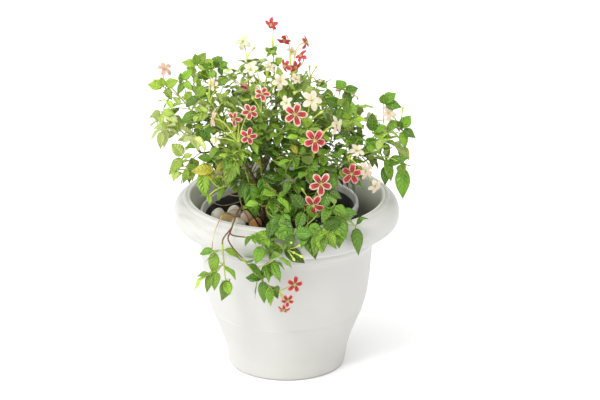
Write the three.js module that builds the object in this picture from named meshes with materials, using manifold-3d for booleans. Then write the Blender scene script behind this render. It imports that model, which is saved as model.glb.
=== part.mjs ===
// Potted rangoon creeper: a bushy flowering climber in a nursery pot, which stands wedged in a white
// planter. Millimetres, +Z up, front towards -Y. The origin is the middle of the planter's foot.
import * as THREE from "three";
import { mergeVertices } from "three/addons/utils/BufferGeometryUtils.js";
import Module from "manifold-3d";

const wasm = await Module();
wasm.setup();

const UP = new THREE.Vector3(0, 0, 1);
const GAP = 0.3; // between pieces that touch
const SEAM = 0.2; // detail smaller than this is dropped where solids are fused
const DEGREE = Math.PI / 180;
const HANDLE = 0.36; // how far a smooth curve keeps its first and last direction, as a share of its span

// Planter: radius and height pairs of its outside and inside, from foot to rim.
const PLANTER_SIDES = 24;
const PLANTER_FLOOR = 5;
const PLANTER_OUTSIDE = [
  [77, 0], [80, 4], [84.3, 29], [91, 50], [103, 79], [110, 104],
  [117.3, 172], [128.5, 188], [129.5, 198], [151, 206.5], [153.8, 217], [149, 233], [138, 243],
];
const PLANTER_INSIDE = [
  [130.5, 242.5], [121, 212], [113.8, 180], [107, 112], [80, 27], [76, PLANTER_FLOOR],
];
const DRAIN_HOLE = { count: 4, radius: 5, circle: 48, length: 40, sides: 8 };

// Nursery pot: it leans a little to the left, its foot caught in the planter's taper.
const NURSERY_SIDES = 20;
const NURSERY_HEIGHT = 218;
const NURSERY_FOOT_RADIUS = 72.5;
const NURSERY_RIM_RADIUS = 107.9;
const NURSERY_RIM_DEPTH = 15;
const NURSERY_WALL = 2;
const NURSERY_RIM_WALL = 4.5;
const NURSERY_RIM_STEP = 1.5; // from the wall out to the rim's inner face
const NURSERY_RIM_BEVEL = 2; // where the rim turns in over its top
const NURSERY_LEAN = 3.7 * DEGREE;
const NURSERY_FOOT_X = 4;

// Soil: its level below the nursery pot's rim, and the height of its crumbs.
const SOIL_BELOW_RIM = 23;
const SOIL_SIDES = 14;
const SOIL_CRUMB = 2.5;
const SOIL_CROWN = 3; // how much higher its middle is
const SOIL_EDGE_GAP = 1.2;
const SOIL_RINGS = [0.45, 0.8, 1]; // of points, as shares of its radius

// Pebbles on the soil: centre x and y, half sizes along x, y and z, turn in degrees, colour.
const PEBBLE_REST = 0.8; // how high its middle lies over the soil, as a share of its half height
const PEBBLE_LUMP = 0.09; // how far it is out of round, as a share of its size
const PEBBLES = [
  { at: [-94.5, 15], half: [9, 8.5, 9.5], turn: 20, colour: 0xdedcd0 },
  { at: [-72.5, 18], half: [10, 9.5, 10], turn: -15, colour: 0xf2efe8 },
  { at: [-80, -5], half: [13, 8.5, 10], turn: 0, colour: 0xb98f55 },
  { at: [-64, -25], half: [10, 9, 9.5], turn: -20, colour: 0xe6dcc6 },
  { at: [-51, -1], half: [10.5, 10, 10.5], turn: 40, colour: 0xd9b48a },
  { at: [-31, 15], half: [8, 7.5, 8], turn: 15, colour: 0xead9c6 },
  { at: [-42, -24], half: [8.5, 8.5, 9], turn: -10, colour: 0xb5652f },
  { at: [57, -38], half: [8, 7, 6], turn: 0, colour: 0xe9e6dc },
];

// Leaves: a range is from the least to the greatest. Width, droop, fold and wave are shares of the length
// or of the half width.
const LEAF_THICKNESS = 0.7;
const LEAF_STALK = 0.1; // the share of the length that is stalk
const LEAF_STALK_HALF_WIDTH = 0.5;
const LEAF_SPREAD = [0.85, 1.12]; // length, as a share of the usual one on its shoot
const LEAF_HALF_WIDTH = [0.24, 0.3];
const LEAF_DROOP = [0.2, 0.55];
const LEAF_FOLD = [0.12, 0.34];
const LEAF_WAVE = 0.16;
const LEAF_LEAN = [48, 78]; // degrees away from the stem
const LEAF_LIFT = 0.12; // how far leaves turn to the light
const LEAF_ROLL = [-28, 28]; // degrees about its own length
const ROOT_OFFSET = 0.4; // from the middle of the stem to where a stalk starts inside it
const LARGE_LEAF = 41; // a leaf this long gets three rows of points, a shorter one two
const LARGE_ROWS = [0.27, 0.52, 0.78];
const SMALL_ROWS = [0.34, 0.7];
// The parts of a leaf, as shares of its length, that keep clear of other pieces and of the leaves of its
// own shoot.
const STALK_START = 0.02;
const BLADE_START = 0.24;
// Where a leaf would cross a neighbour it is turned on its stem or made smaller, in this order.
const LEAF_TRIES = [
  [0, 1], [28, 1], [-28, 1], [55, 0.9], [-55, 0.9], [85, 0.8], [20, 0.7], [-20, 0.62],
];

// Flowers: five petals on a long slender tube.
const PETALS = 5;
const PETAL_LENGTH = 13;
const PETAL_HALF_WIDTH = 3.9;
const PETAL_WIDEST = 0.6; // the share of the length where it is widest
const PETAL_THICKNESS = 0.8;
const THROAT_RADIUS = 1.5;
const NOTCH_RADIUS = 2.7;
const THROAT_DEPTH = 1.6;
const TUBE_RADIUS = 0.9;
const TUBE_SIDES = 3;
const TUBE_STEPS = 2;
const BUD_STALK_RADIUS = 0.72;
const BUD_RADIUS = 1.7;
const HEAD_LENGTH = 6;
const HEAD_RADIUS = 2.2;
const HEAD_SIDES = 4;
const FLOWERS_FROM = [0.45, 0.85]; // the stretch of the head that bears the flowers

// Woody stems: a limb rises from its foot in the soil over a bend to its top. Limbs that share a stem are
// one piece.
const STEM_RADIUS = 2.6;
const VINE_RADIUS = 1.5; // of the stem that trails over the rim
const BRANCH_RADIUS = 1.5;
const SHOOT_RADIUS = 1.1;
const TWIG_RADIUS = 0.9;
const LIMB_STEPS = 4;
const LIMB_SIDES = 5;
const BRANCH_STEPS = 2;
const BRANCH_SIDES = 3;
const AXIS_STEPS = 3;
const AXIS_SIDES = 4;
const TWIG_STEPS = 2;
const TWIG_SIDES = 3;
const SOIL_DEPTH_OF_STEM = 14;
const LIMBS = {
  left: { stem: "left", radius: STEM_RADIUS, foot: [-26, -4], bend: [-54, 6, 262], top: [-92, 4, 300] },
  left_front: {
    stem: "left", radius: STEM_RADIUS, foot: [-26, -4], bend: [-36, -36, 258], top: [-50, -60, 302],
  },
  middle: { stem: "middle", radius: STEM_RADIUS, foot: [-4, -4], bend: [-12, 6, 270], top: [-12, 8, 340] },
  front: { stem: "middle", radius: STEM_RADIUS, foot: [-4, -4], bend: [12, -34, 255], top: [26, -58, 290] },
  right: { stem: "right", radius: STEM_RADIUS, foot: [15, 0], bend: [42, -8, 258], top: [84, -12, 290] },
  back_left: { stem: "back", radius: STEM_RADIUS, foot: [-6, 18], bend: [-30, 42, 262], top: [-46, 74, 320] },
  back_right: { stem: "back", radius: STEM_RADIUS, foot: [-6, 18], bend: [20, 42, 262], top: [44, 78, 312] },
  trailing: {
    stem: "trailing", radius: VINE_RADIUS, foot: [-22, -40], bend: [-57, -92, 258], top: [-76, -154, 241],
  },
};

// Leafy shoots: the limb that bears each, how far along it the branch leaves, where the shoot's green part
// begins and where its tip is, how high it arches, its leaf length, its pairs of leaves, and its side
// twigs.
function shoot(on, leavesAt, from, tip, arch, leaf, pairs, twigs) {
  return { on, leavesAt, from, tip, arch, leaf, pairs, twigs };
}

const SHOOTS = {
  left_high: shoot("left", 1, [-112, 8, 330], [-162, 15, 396], 8, 29, 3, 1),
  left_top: shoot("left", 0.7, [-84, 18, 348], [-112, 22, 422], 4, 26, 3, 0),
  left_pale: shoot("left", 0.5, [-80, -14, 330], [-100, -28, 382], 4, 28, 2, 1),
  left_far: shoot("left", 1, [-118, -6, 306], [-176, -12, 352], 14, 30, 3, 0),
  left_low: shoot("left", 0.6, [-96, -28, 268], [-150, -44, 292], 12, 36, 3, 0),
  left_mid: shoot("left_front", 1, [-58, -66, 312], [-63, -75, 337], 0, 27, 1, 1),
  left_skirt: shoot("left_front", 0.6, [-60, -62, 272], [-104, -84, 270], 16, 37, 3, 0),
  rose: shoot("left_front", 0.9, [-38, -50, 320], [-34, -48, 370], 0, 29, 3, 0),
  top: shoot("middle", 1, [-14, 6, 368], [-18, 5, 452], 0, 18, 4, 0),
  crown: shoot("middle", 0.8, [2, 0, 352], [7, -2, 406], 0, 28, 3, 1),
  white: shoot("middle", 0.7, [-24, -4, 335], [-29, -8, 374], 0, 29, 2, 0),
  center: shoot("front", 0.9, [22, -48, 318], [26, -62, 358], 0, 30, 3, 1),
  big: shoot("front", 1, [32, -68, 300], [35, -80, 322], 0, 32, 1, 1),
  low: shoot("front", 0.6, [20, -62, 262], [31, -95, 269], 5, 35, 2, 1),
  apron: shoot("front", 0.4, [-6, -62, 262], [-26, -108, 262], 18, 40, 3, 0),
  right_low: shoot("right", 0.9, [78, -36, 298], [82, -58, 316], 2, 31, 2, 1),
  right_drop: shoot("right", 1, [104, -20, 296], [156, -32, 296], 16, 42, 3, 0),
  right_far: shoot("right", 0.9, [106, 4, 308], [146, 14, 338], 8, 30, 3, 1),
  right_high: shoot("right", 0.5, [56, -6, 330], [84, -4, 388], 4, 31, 3, 1),
  spire: shoot("back_right", 0.7, [30, 36, 340], [32, 22, 396], 0, 28, 3, 1),
  haze: shoot("back_left", 1, [-50, 62, 352], [-53, 58, 412], 0, 28, 3, 1),
  back_left: shoot("back_left", 0.7, [-62, 86, 300], [-84, 122, 322], 12, 34, 3, 1),
  back_right: shoot("back_right", 1, [52, 96, 312], [66, 128, 326], 10, 34, 3, 1),
  trailing_left: shoot("trailing", 0.86, [-84, -160, 232], [-80, -158, 176], -4, 30, 3, 0),
  trailing_right: shoot("trailing", 1, [-58, -165, 214], [-15, -158, 166], -6, 31, 3, 0),
  rim_middle: shoot("trailing", 0.93, [-42, -162, 240], [-4, -164, 229], 4, 24, 3, 0),
  rim_right: shoot("front", 0.5, [40, -104, 264], [62, -156, 245], 8, 36, 3, 2),
};

// Side twigs: where the first leaves the shoot, and how much further each next one.
const FIRST_TWIG = 0.2;
const TWIG_SPACING = 0.34;
const TWIG_REACH = [1.15, 1.6]; // in leaf lengths of its shoot
const TWIG_TURN = [-40, 40]; // degrees about the shoot
const TWIG_RISE = [0.05, 0.4]; // of its tip, as a share of its reach

// Pairs of leaves: the stretch of the shoot that bears them, how they get smaller along it, and the angles
// at which one pair and the next stand, so that they cross.
const PAIRS_FROM = [0.14, 0.96];
const PAIR_SIZES = [1.05, 0.72];
const PAIR_ANGLES = [12, 62];
const PAIR_TURN = [-20, 20];
const TWIG_PAIR_AT = 0.93;
const TWIG_PAIR_SIZE = 0.86;
const FIRST_TWIG_PAIR = 20; // the number of the first pair on a twig, past all those on the shoot itself

// Flower clusters, each on the tip of the shoot that has its name. A flower is the place of its throat, the
// way it faces as turn and rise in degrees (turn 0 to the front, 90 to the right), how wide its petals
// open, and its age from 0, white, to 1, deep red. A bud is the place of its tip.
const CLUSTERS = {
  top: { flowers: [[-19, 3, 485, 150, 25, 88, 1]], buds: [] },
  crown: {
    flowers: [
      [-2, 0, 463, -20, -20, 75, 1], [26, -3, 458, 75, 10, 85, 0.9], [20, -10, 444, 50, 40, 80, 1],
      [13, -20, 434, 25, 5, 80, 1], [-2, -24, 430, -35, 20, 80, 0.95], [10, 14, 447, 60, 50, 70, 0.1],
      [14, -30, 416, 25, 30, 70, 0.1],
    ],
    buds: [],
  },
  haze: { flowers: [[-59, 60, 441, -10, 50, 85, 0]], buds: [[-42, 66, 432]] },
  white: {
    flowers: [
      [-50, -10, 428, -25, 40, 65, 0], [-33, -6, 426, 10, 50, 65, 0.05], [-8, -36, 410, 0, 30, 70, 0.05],
      [-54, -27, 411, -30, -50, 45, 0.75], [-45, 14, 424, -150, 35, 70, 0.05],
    ],
    buds: [[-25, 2, 428]],
  },
  rose: { flowers: [[-33, -56, 402, 5, 55, 75, 0.6]], buds: [[-46, -54, 402]] },
  left_mid: {
    flowers: [
      [-48, -88, 390, 15, 15, 88, 0.6], [-70, -80, 380, -40, 5, 85, 0.5], [-49, -100, 359, 10, 8, 88, 0.75],
      [-96, -74, 377, -75, 10, 80, 0.3], [-92, -86, 352, -60, -5, 75, 0.05],
    ],
    buds: [[-80, -98, 366]],
  },
  center: {
    flowers: [
      [12, -86, 387, -5, 18, 88, 0.65], [36, -70, 399, 20, 40, 80, 0.2], [-4, -62, 391, -30, 35, 65, 0.05],
    ],
    buds: [[50, -72, 388]],
  },
  big: { flowers: [[38, -108, 357, 5, 12, 90, 0.8], [66, -90, 372, 55, 15, 85, 0.15]], buds: [] },
  low: {
    flowers: [[46, -114, 298, 10, 20, 86, 0.55], [36, -122, 270, -5, 15, 90, 0.8]],
    buds: [[20, -108, 292]],
  },
  right_low: {
    flowers: [
      [88, -80, 298, 5, 10, 90, 0.95], [106, -64, 300, 40, 5, 85, 0.3], [119, -56, 275, 50, -25, 85, 0.2],
      [91, -52, 330, 20, 45, 75, 0.1],
    ],
    buds: [],
  },
  right_far: {
    flowers: [[139, 6, 361, 20, 25, 80, 0.2], [116, 20, 349, -30, 30, 70, 0.05]],
    buds: [[158, 16, 364]],
  },
  left_high: { flowers: [[-164, 18, 416, -30, 40, 85, 0.55]], buds: [[-180, 6, 404]] },
  left_pale: {
    flowers: [[-95, -32, 410, -60, 20, 60, 0.35]],
    buds: [[-112, -30, 408], [-106, -40, 402]],
  },
  spire: { flowers: [[46, 60, 384, 160, 20, 80, 0.2]], buds: [[31, 12, 424], [42, 22, 420]] },
  back_right: { flowers: [[74, 152, 340, 165, 25, 86, 0.7], [92, 132, 338, 130, 30, 82, 0.15]], buds: [] },
  trailing_right: {
    flowers: [
      [12, -162, 174, 15, 10, 86, 0.9], [3, -166, 152, 5, -5, 88, 0.95], [-5, -160, 136, -15, -30, 88, 0.9],
    ],
    buds: [],
  },
  rim_middle: {
    flowers: [],
    buds: [[24, -168, 216], [12, -170, 212], [22, -160, 232], [8, -166, 238], [12, -172, 224]],
  },
};

// Colours and roughness of the plain finishes
const FINISHES = {
  planter: { colour: 0xe9e9e2, roughness: 0.35 },
  nursery: { colour: 0x3a3838, roughness: 0.5 },
  soil: { colour: 0x2b211c, roughness: 0.95 },
  bark: { colour: 0x7a5238, roughness: 0.8 },
  petal: { colour: 0xd8506a, roughness: 0.6 },
  leaf: { colour: 0x4f8a2c, roughness: 0.45 },
};
const PEBBLE_ROUGHNESS = 0.55;

// Solids

const MERGE_WITHIN = 1e-4; // points as near as this are one

function solidOf(geometry) {
  const bare = geometry.index ? geometry.toNonIndexed() : geometry.clone();
  bare.deleteAttribute("normal");
  bare.deleteAttribute("uv");
  const merged = mergeVertices(bare, MERGE_WITHIN);
  return new wasm.Manifold(
    new wasm.Mesh({
      numProp: 3,
      vertProperties: new Float32Array(merged.attributes.position.array),
      triVerts: new Uint32Array(merged.index.array),
    }),
  );
}

function geometryOf(solid) {
  const mesh = solid.getMesh();
  const geometry = new THREE.BufferGeometry();
  geometry.setAttribute("position", new THREE.BufferAttribute(new Float32Array(mesh.vertProperties), 3));
  geometry.setIndex(new THREE.BufferAttribute(new Uint32Array(mesh.triVerts), 1));
  return geometry;
}

// One solid from many, with the slivers along their seams taken out.
function join(solids) {
  return solids.reduce((whole, solid) => whole.add(solid)).asOriginal().simplify(SEAM);
}

// A closed solid from lists of points and of triangles.
function solidFrom(points, triangles) {
  const geometry = new THREE.BufferGeometry().setFromPoints(points);
  geometry.setIndex(triangles);
  return solidOf(geometry);
}

// A solid of revolution about Z from radius and height pairs that start and end on the axis.
function turned(pairs, sides) {
  const profile = pairs.map(([radius, height]) => new THREE.Vector2(radius, height));
  return solidOf(new THREE.LatheGeometry(profile, sides).rotateX(Math.PI / 2));
}

function vector([x, y, z]) {
  return new THREE.Vector3(x, y, z);
}

// A number from 0 to 1 that depends only on its three seeds.
function draw(a, b, c) {
  const wave = Math.sin(a * 12.9898 + b * 78.233 + c * 37.719) * 43758.5453;
  return wave - Math.floor(wave);
}

function mix(low, high, share) {
  return low + (high - low) * share;
}

// A value of a range that depends only on its three seeds.
function drawn([low, high], a, b, c) {
  return mix(low, high, draw(a, b, c));
}

// The direction at an angle from one axis towards another.
function between(first, second, angle) {
  return first.clone().multiplyScalar(Math.cos(angle)).addScaledVector(second, Math.sin(angle));
}

// A smooth curve from one point to another that leaves and arrives in the directions given.
function curveBetween(start, leaving, end, arriving) {
  const reach = start.distanceTo(end) * HANDLE;
  return new THREE.CubicBezierCurve3(
    start,
    start.clone().addScaledVector(leaving, reach),
    end.clone().addScaledVector(arriving, -reach),
    end,
  );
}

// A point on the straight pieces that a rod of so many steps makes of its curve.
function pointOn(curve, steps, share) {
  const step = Math.min(steps - 1, Math.floor(share * steps));
  return curve.getPoint(step / steps).lerp(curve.getPoint((step + 1) / steps), share * steps - step);
}

// The points and triangles of a rod along a curve, which changes from one radius to another. Its first face
// is square to startNormal, and its last triangles are its end face.
function rodMesh(curve, steps, sides, startRadius, endRadius, startNormal) {
  const points = [];
  const triangles = [];
  let across = new THREE.Vector3(1, 0.2, 0.1);
  for (let i = 0; i <= steps; i++) {
    const share = i / steps;
    const centre = curve.getPoint(share);
    const along = i === 0 && startNormal ? startNormal : curve.getTangent(share);
    across = across.clone().addScaledVector(along, -across.dot(along)).normalize();
    const third = along.clone().cross(across);
    const radius = mix(startRadius, endRadius, share);
    for (let j = 0; j < sides; j++) {
      const angle = (2 * Math.PI * j) / sides;
      points.push(centre.clone().addScaledVector(between(across, third, angle), radius));
    }
  }
  for (let i = 0; i < steps; i++) {
    for (let j = 0; j < sides; j++) {
      const a = i * sides + j;
      const b = i * sides + ((j + 1) % sides);
      triangles.push(a, b, b + sides, a, b + sides, a + sides);
    }
  }
  const last = steps * sides;
  for (let j = 1; j < sides - 1; j++) triangles.push(0, j + 1, j);
  for (let j = 1; j < sides - 1; j++) triangles.push(last, last + j, last + j + 1);
  return { points, triangles };
}

function rod(...measures) {
  const { points, triangles } = rodMesh(...measures);
  return solidFrom(points, triangles);
}

// Planter and nursery pot

function planterSolid() {
  const shell = turned([[0, 0], ...PLANTER_OUTSIDE, ...PLANTER_INSIDE, [0, PLANTER_FLOOR]], PLANTER_SIDES);
  return shell.subtract(drainHoles());
}

function drainHoles() {
  const holes = [];
  for (let i = 0; i < DRAIN_HOLE.count; i++) {
    const angle = ((i + 0.5) * 2 * Math.PI) / DRAIN_HOLE.count;
    const { radius, circle, length, sides } = DRAIN_HOLE;
    const hole = new THREE.CylinderGeometry(radius, radius, length, sides).rotateX(Math.PI / 2);
    hole.translate(circle * Math.cos(angle), circle * Math.sin(angle), 0);
    holes.push(solidOf(hole));
  }
  return join(holes);
}

// The nursery pot's outer wall radius at a height above its own foot.
function nurseryRadius(height) {
  const top = NURSERY_HEIGHT - NURSERY_RIM_DEPTH;
  return mix(NURSERY_FOOT_RADIUS, NURSERY_RIM_RADIUS - NURSERY_RIM_WALL - NURSERY_RIM_STEP, height / top);
}

function nurserySolid() {
  const shoulder = NURSERY_HEIGHT - NURSERY_RIM_DEPTH;
  const rim = NURSERY_RIM_RADIUS;
  const bevel = NURSERY_RIM_BEVEL;
  const profile = [
    [0, 0], [NURSERY_FOOT_RADIUS, 0], [nurseryRadius(shoulder), shoulder],
    [rim - bevel / 2, shoulder + bevel / 2], [rim, NURSERY_HEIGHT - bevel], [rim - bevel, NURSERY_HEIGHT],
    [rim - NURSERY_RIM_WALL, NURSERY_HEIGHT - bevel],
    [nurseryRadius(shoulder) - NURSERY_WALL, shoulder - NURSERY_WALL],
    [nurseryRadius(NURSERY_WALL) - NURSERY_WALL, NURSERY_WALL], [0, NURSERY_WALL],
  ];
  return turned(profile, NURSERY_SIDES).subtract(drainHoles());
}

// Where a point of the nursery pot's own frame is in the part's frame.
const nurseryFrame = new THREE.Matrix4().makeRotationY(-NURSERY_LEAN);
nurseryFrame.setPosition(
  NURSERY_FOOT_X,
  0,
  PLANTER_FLOOR + GAP + NURSERY_FOOT_RADIUS * Math.sin(NURSERY_LEAN),
);

function leaning(solid) {
  return solidOf(geometryOf(solid).applyMatrix4(nurseryFrame));
}

// Soil and pebbles

const SOIL_TOP = NURSERY_HEIGHT - SOIL_BELOW_RIM;

function soilSolid() {
  const wallRadius = (height) => nurseryRadius(height) - NURSERY_WALL - SOIL_EDGE_GAP;
  const points = [new THREE.Vector3(0, 0, SOIL_TOP + SOIL_CROWN)];
  SOIL_RINGS.forEach((share, i) => {
    for (let j = 0; j < SOIL_SIDES; j++) {
      const angle = (2 * Math.PI * j) / SOIL_SIDES;
      const crumb = share < 1 ? SOIL_CRUMB * (2 * draw(i, j, 5) - 1) : -1;
      const radius = share * wallRadius(SOIL_TOP);
      points.push(new THREE.Vector3(radius * Math.cos(angle), radius * Math.sin(angle), SOIL_TOP + crumb));
    }
  });
  const footRadius = wallRadius(NURSERY_WALL + GAP);
  for (let j = 0; j < SOIL_SIDES; j++) {
    const angle = (2 * Math.PI * j) / SOIL_SIDES;
    const foot = NURSERY_WALL + GAP;
    points.push(new THREE.Vector3(footRadius * Math.cos(angle), footRadius * Math.sin(angle), foot));
  }
  points.push(new THREE.Vector3(0, 0, NURSERY_WALL + GAP));
  const triangles = [];
  const last = points.length - 1;
  for (let j = 0; j < SOIL_SIDES; j++) {
    const next = (j + 1) % SOIL_SIDES;
    triangles.push(0, 1 + j, 1 + next);
    for (let i = 0; i < SOIL_RINGS.length; i++) {
      const inner = 1 + i * SOIL_SIDES;
      const outer = inner + SOIL_SIDES;
      triangles.push(inner + j, outer + j, outer + next, inner + j, outer + next, inner + next);
    }
    triangles.push(last, last - SOIL_SIDES + next, last - SOIL_SIDES + j);
  }
  return solidFrom(points, triangles);
}

// A pebble is a ball pulled out of round that rests in a dent of the soil. Grown makes the dent.
function pebbleSolid({ at, half, turn }, index, grown) {
  const ball = new THREE.IcosahedronGeometry(1, 1);
  const place = ball.attributes.position;
  const point = new THREE.Vector3();
  for (let i = 0; i < place.count; i++) {
    point.fromBufferAttribute(place, i);
    const lump = Math.sin(2.3 * point.x + index) + Math.cos(2.9 * point.y - 1.7 * index);
    point.multiplyScalar(1 + PEBBLE_LUMP * lump);
    place.setXYZ(i, point.x * (half[0] + grown), point.y * (half[1] + grown), point.z * (half[2] + grown));
  }
  ball.rotateZ(turn * DEGREE);
  const level = new THREE.Vector3(at[0] - NURSERY_FOOT_X, at[1], SOIL_TOP).applyMatrix4(nurseryFrame).z;
  ball.translate(at[0], at[1], level + half[2] * PEBBLE_REST);
  return solidOf(ball);
}

// Leaves

// The half width of a leaf as a share of its widest, along the blade.
function leafShape(share) {
  return Math.pow(Math.max(0, Math.sin(Math.PI * Math.pow(share, 0.75))), 0.6 + 0.5 * share);
}

// A leaf's facts, worked out from its slot on a stem and the number of the try.
function leafAt(slot, attempt) {
  const [turn, scale] = LEAF_TRIES[attempt];
  const { root, along, side, size, seed } = slot;
  const level = along.clone().cross(UP);
  if (level.length() < 0.25) level.set(Math.cos(seed), Math.sin(seed), 0);
  level.normalize();
  const rising = level.clone().cross(along).normalize();
  const angle = (slot.angle + turn) * DEGREE;
  const out = between(level, rising, angle).multiplyScalar(side);
  const direction = between(along, out, drawn(LEAF_LEAN, seed, 3, side) * DEGREE);
  direction.addScaledVector(UP, LEAF_LIFT).normalize();
  const across = UP.clone().cross(direction);
  if (across.length() < 0.2) across.copy(along.clone().cross(direction));
  across.normalize();
  const face = direction.clone().cross(across);
  const roll = drawn(LEAF_ROLL, seed, 4, side) * DEGREE;
  const length = size * scale * drawn(LEAF_SPREAD, seed, 5, side);
  return {
    root: root.clone().addScaledVector(out, ROOT_OFFSET),
    direction,
    across: between(across, face, roll),
    length,
    halfWidth: length * drawn(LEAF_HALF_WIDTH, seed, 6, side),
    droop: drawn(LEAF_DROOP, seed, 7, side),
    fold: drawn(LEAF_FOLD, seed, 8, side),
    phase: 6 * draw(seed, 9, side),
  };
}

// A point of a leaf's middle surface: along from 0 to 1, and -1 to 1 from edge to edge. Lift is along the
// normal.
function leafPoint(leaf, along, sideways, lift) {
  const tangent = leaf.direction.clone().addScaledVector(UP, -2 * leaf.droop * along).normalize();
  const normal = tangent.clone().cross(leaf.across).normalize();
  const blade = Math.max(0, (along - LEAF_STALK) / (1 - LEAF_STALK));
  const half = LEAF_STALK_HALF_WIDTH * (1 - blade) + leaf.halfWidth * leafShape(blade);
  const edge = Math.abs(sideways);
  const wave = LEAF_WAVE * edge * edge * Math.sin(9 * along + leaf.phase + (sideways > 0 ? 1.6 : 0));
  return leaf.root
    .clone()
    .addScaledVector(leaf.direction, leaf.length * along)
    .addScaledVector(UP, -leaf.length * leaf.droop * along * along)
    .addScaledVector(leaf.across, half * sideways)
    .addScaledVector(normal, half * (leaf.fold * edge + (blade > 0 ? wave : 0)) + lift);
}

// A leaf as a thin folded blade. It starts at firstRow of its length, which is 0 for the whole leaf.
function leafSolid(leaf, firstRow, thickness) {
  const rows = leaf.length >= LARGE_LEAF ? LARGE_ROWS : SMALL_ROWS;
  const points = [];
  const triangles = [];
  for (const lift of [thickness / 2, -thickness / 2]) {
    points.push(leafPoint(leaf, firstRow, -1, lift), leafPoint(leaf, firstRow, 1, lift));
    for (const row of rows) {
      for (const sideways of [-1, 0, 1]) points.push(leafPoint(leaf, row, sideways, lift));
    }
    points.push(leafPoint(leaf, 1, 0, lift));
  }
  const count = points.length / 2;
  const tip = count - 1;
  const face = (a, b, c) => triangles.push(a, c, b, count + a, count + b, count + c);
  face(0, 3, 2);
  face(0, 1, 3);
  face(1, 4, 3);
  for (let i = 1; i < rows.length; i++) {
    const left = 3 * i - 1;
    face(left, left + 1, left + 4);
    face(left, left + 4, left + 3);
    face(left + 1, left + 2, left + 5);
    face(left + 1, left + 5, left + 4);
  }
  const end = 3 * rows.length - 1;
  face(end, end + 1, tip);
  face(end + 1, end + 2, tip);
  const outline = [0, 1];
  for (let i = 0; i < rows.length; i++) outline.push(3 * i + 4);
  outline.push(tip);
  for (let i = rows.length - 1; i >= 0; i--) outline.push(3 * i + 2);
  outline.forEach((a, i) => {
    const b = outline[(i + 1) % outline.length];
    triangles.push(a, count + b, count + a, a, b, count + b);
  });
  return solidFrom(points, triangles);
}

// Stems

function limbCurve({ foot, bend, top }) {
  const soil = new THREE.Vector3(foot[0] - NURSERY_FOOT_X, foot[1], SOIL_TOP - SOIL_DEPTH_OF_STEM);
  const start = new THREE.Vector3(foot[0], foot[1], soil.applyMatrix4(nurseryFrame).z);
  return new THREE.CatmullRomCurve3([start, vector(bend), vector(top)], false, "catmullrom", 0.5);
}

// The branch that carries a shoot: from its limb to the point where the green part begins.
function branchCurve({ on, leavesAt, from, tip }) {
  const limb = limbCurve(LIMBS[on]);
  const end = vector(from);
  const heading = vector(tip).sub(end).normalize();
  return curveBetween(limb.getPoint(leavesAt), limb.getTangent(leavesAt), end, heading);
}

// The green axis of a shoot, which carries on from its branch.
function shootCurve(borne) {
  const heading = branchCurve(borne).getTangent(1);
  const start = vector(borne.from).addScaledVector(heading, GAP);
  const end = vector(borne.tip);
  const chord = end.clone().sub(start);
  const leaving = chord.clone().addScaledVector(UP, 3 * borne.arch).normalize();
  const arriving = chord.clone().addScaledVector(UP, -3 * borne.arch).normalize();
  return curveBetween(start, leaving, end, arriving);
}

// The side twigs of a shoot, as curves that leave it by turns to either side.
function twigCurves(borne, seed) {
  const axis = shootCurve(borne);
  const twigs = [];
  for (let i = 0; i < borne.twigs; i++) {
    const place = FIRST_TWIG + TWIG_SPACING * i;
    const start = pointOn(axis, AXIS_STEPS, place);
    const along = axis.getTangent(place);
    const out = along.clone().cross(UP);
    if (out.length() < 0.3) out.set(Math.cos(seed), Math.sin(seed), 0);
    out.normalize().multiplyScalar(i % 2 === 0 ? 1 : -1);
    out.applyAxisAngle(along, drawn(TWIG_TURN, seed, i, 21) * DEGREE);
    const reach = borne.leaf * drawn(TWIG_REACH, seed, i, 22);
    const end = start.clone().addScaledVector(out, reach * 0.85).addScaledVector(along, reach * 0.4);
    end.z += reach * drawn(TWIG_RISE, seed, i, 23);
    const leaving = out.clone().add(along).normalize();
    twigs.push(curveBetween(start, leaving, end, out.clone().addScaledVector(UP, -0.1).normalize()));
  }
  return twigs;
}

// Every place on a shoot where a leaf grows: opposite pairs on the axis, and pairs near the end of each
// twig.
function leafSlots(borne, seed) {
  const slots = [];
  const addPair = (curve, steps, place, size, number) => {
    for (const side of [1, -1]) {
      slots.push({
        root: pointOn(curve, steps, place),
        along: curve.getTangent(place),
        side,
        size,
        angle: PAIR_ANGLES[number % 2] + drawn(PAIR_TURN, seed, number, 11),
        seed: seed * 100 + number,
      });
    }
  };
  const axis = shootCurve(borne);
  for (let i = 0; i < borne.pairs; i++) {
    const share = borne.pairs > 1 ? i / (borne.pairs - 1) : 1;
    const size = borne.leaf * mix(...PAIR_SIZES, share * share);
    addPair(axis, AXIS_STEPS, mix(...PAIRS_FROM, share), size, i);
  }
  twigCurves(borne, seed).forEach((twig, i) => {
    addPair(twig, TWIG_STEPS, TWIG_PAIR_AT, borne.leaf * TWIG_PAIR_SIZE, FIRST_TWIG_PAIR + i);
  });
  return slots;
}

// Flowers

function facing(turn, rise) {
  const level = Math.cos(rise * DEGREE);
  return new THREE.Vector3(
    level * Math.sin(turn * DEGREE),
    -level * Math.cos(turn * DEGREE),
    Math.sin(rise * DEGREE),
  );
}

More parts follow.
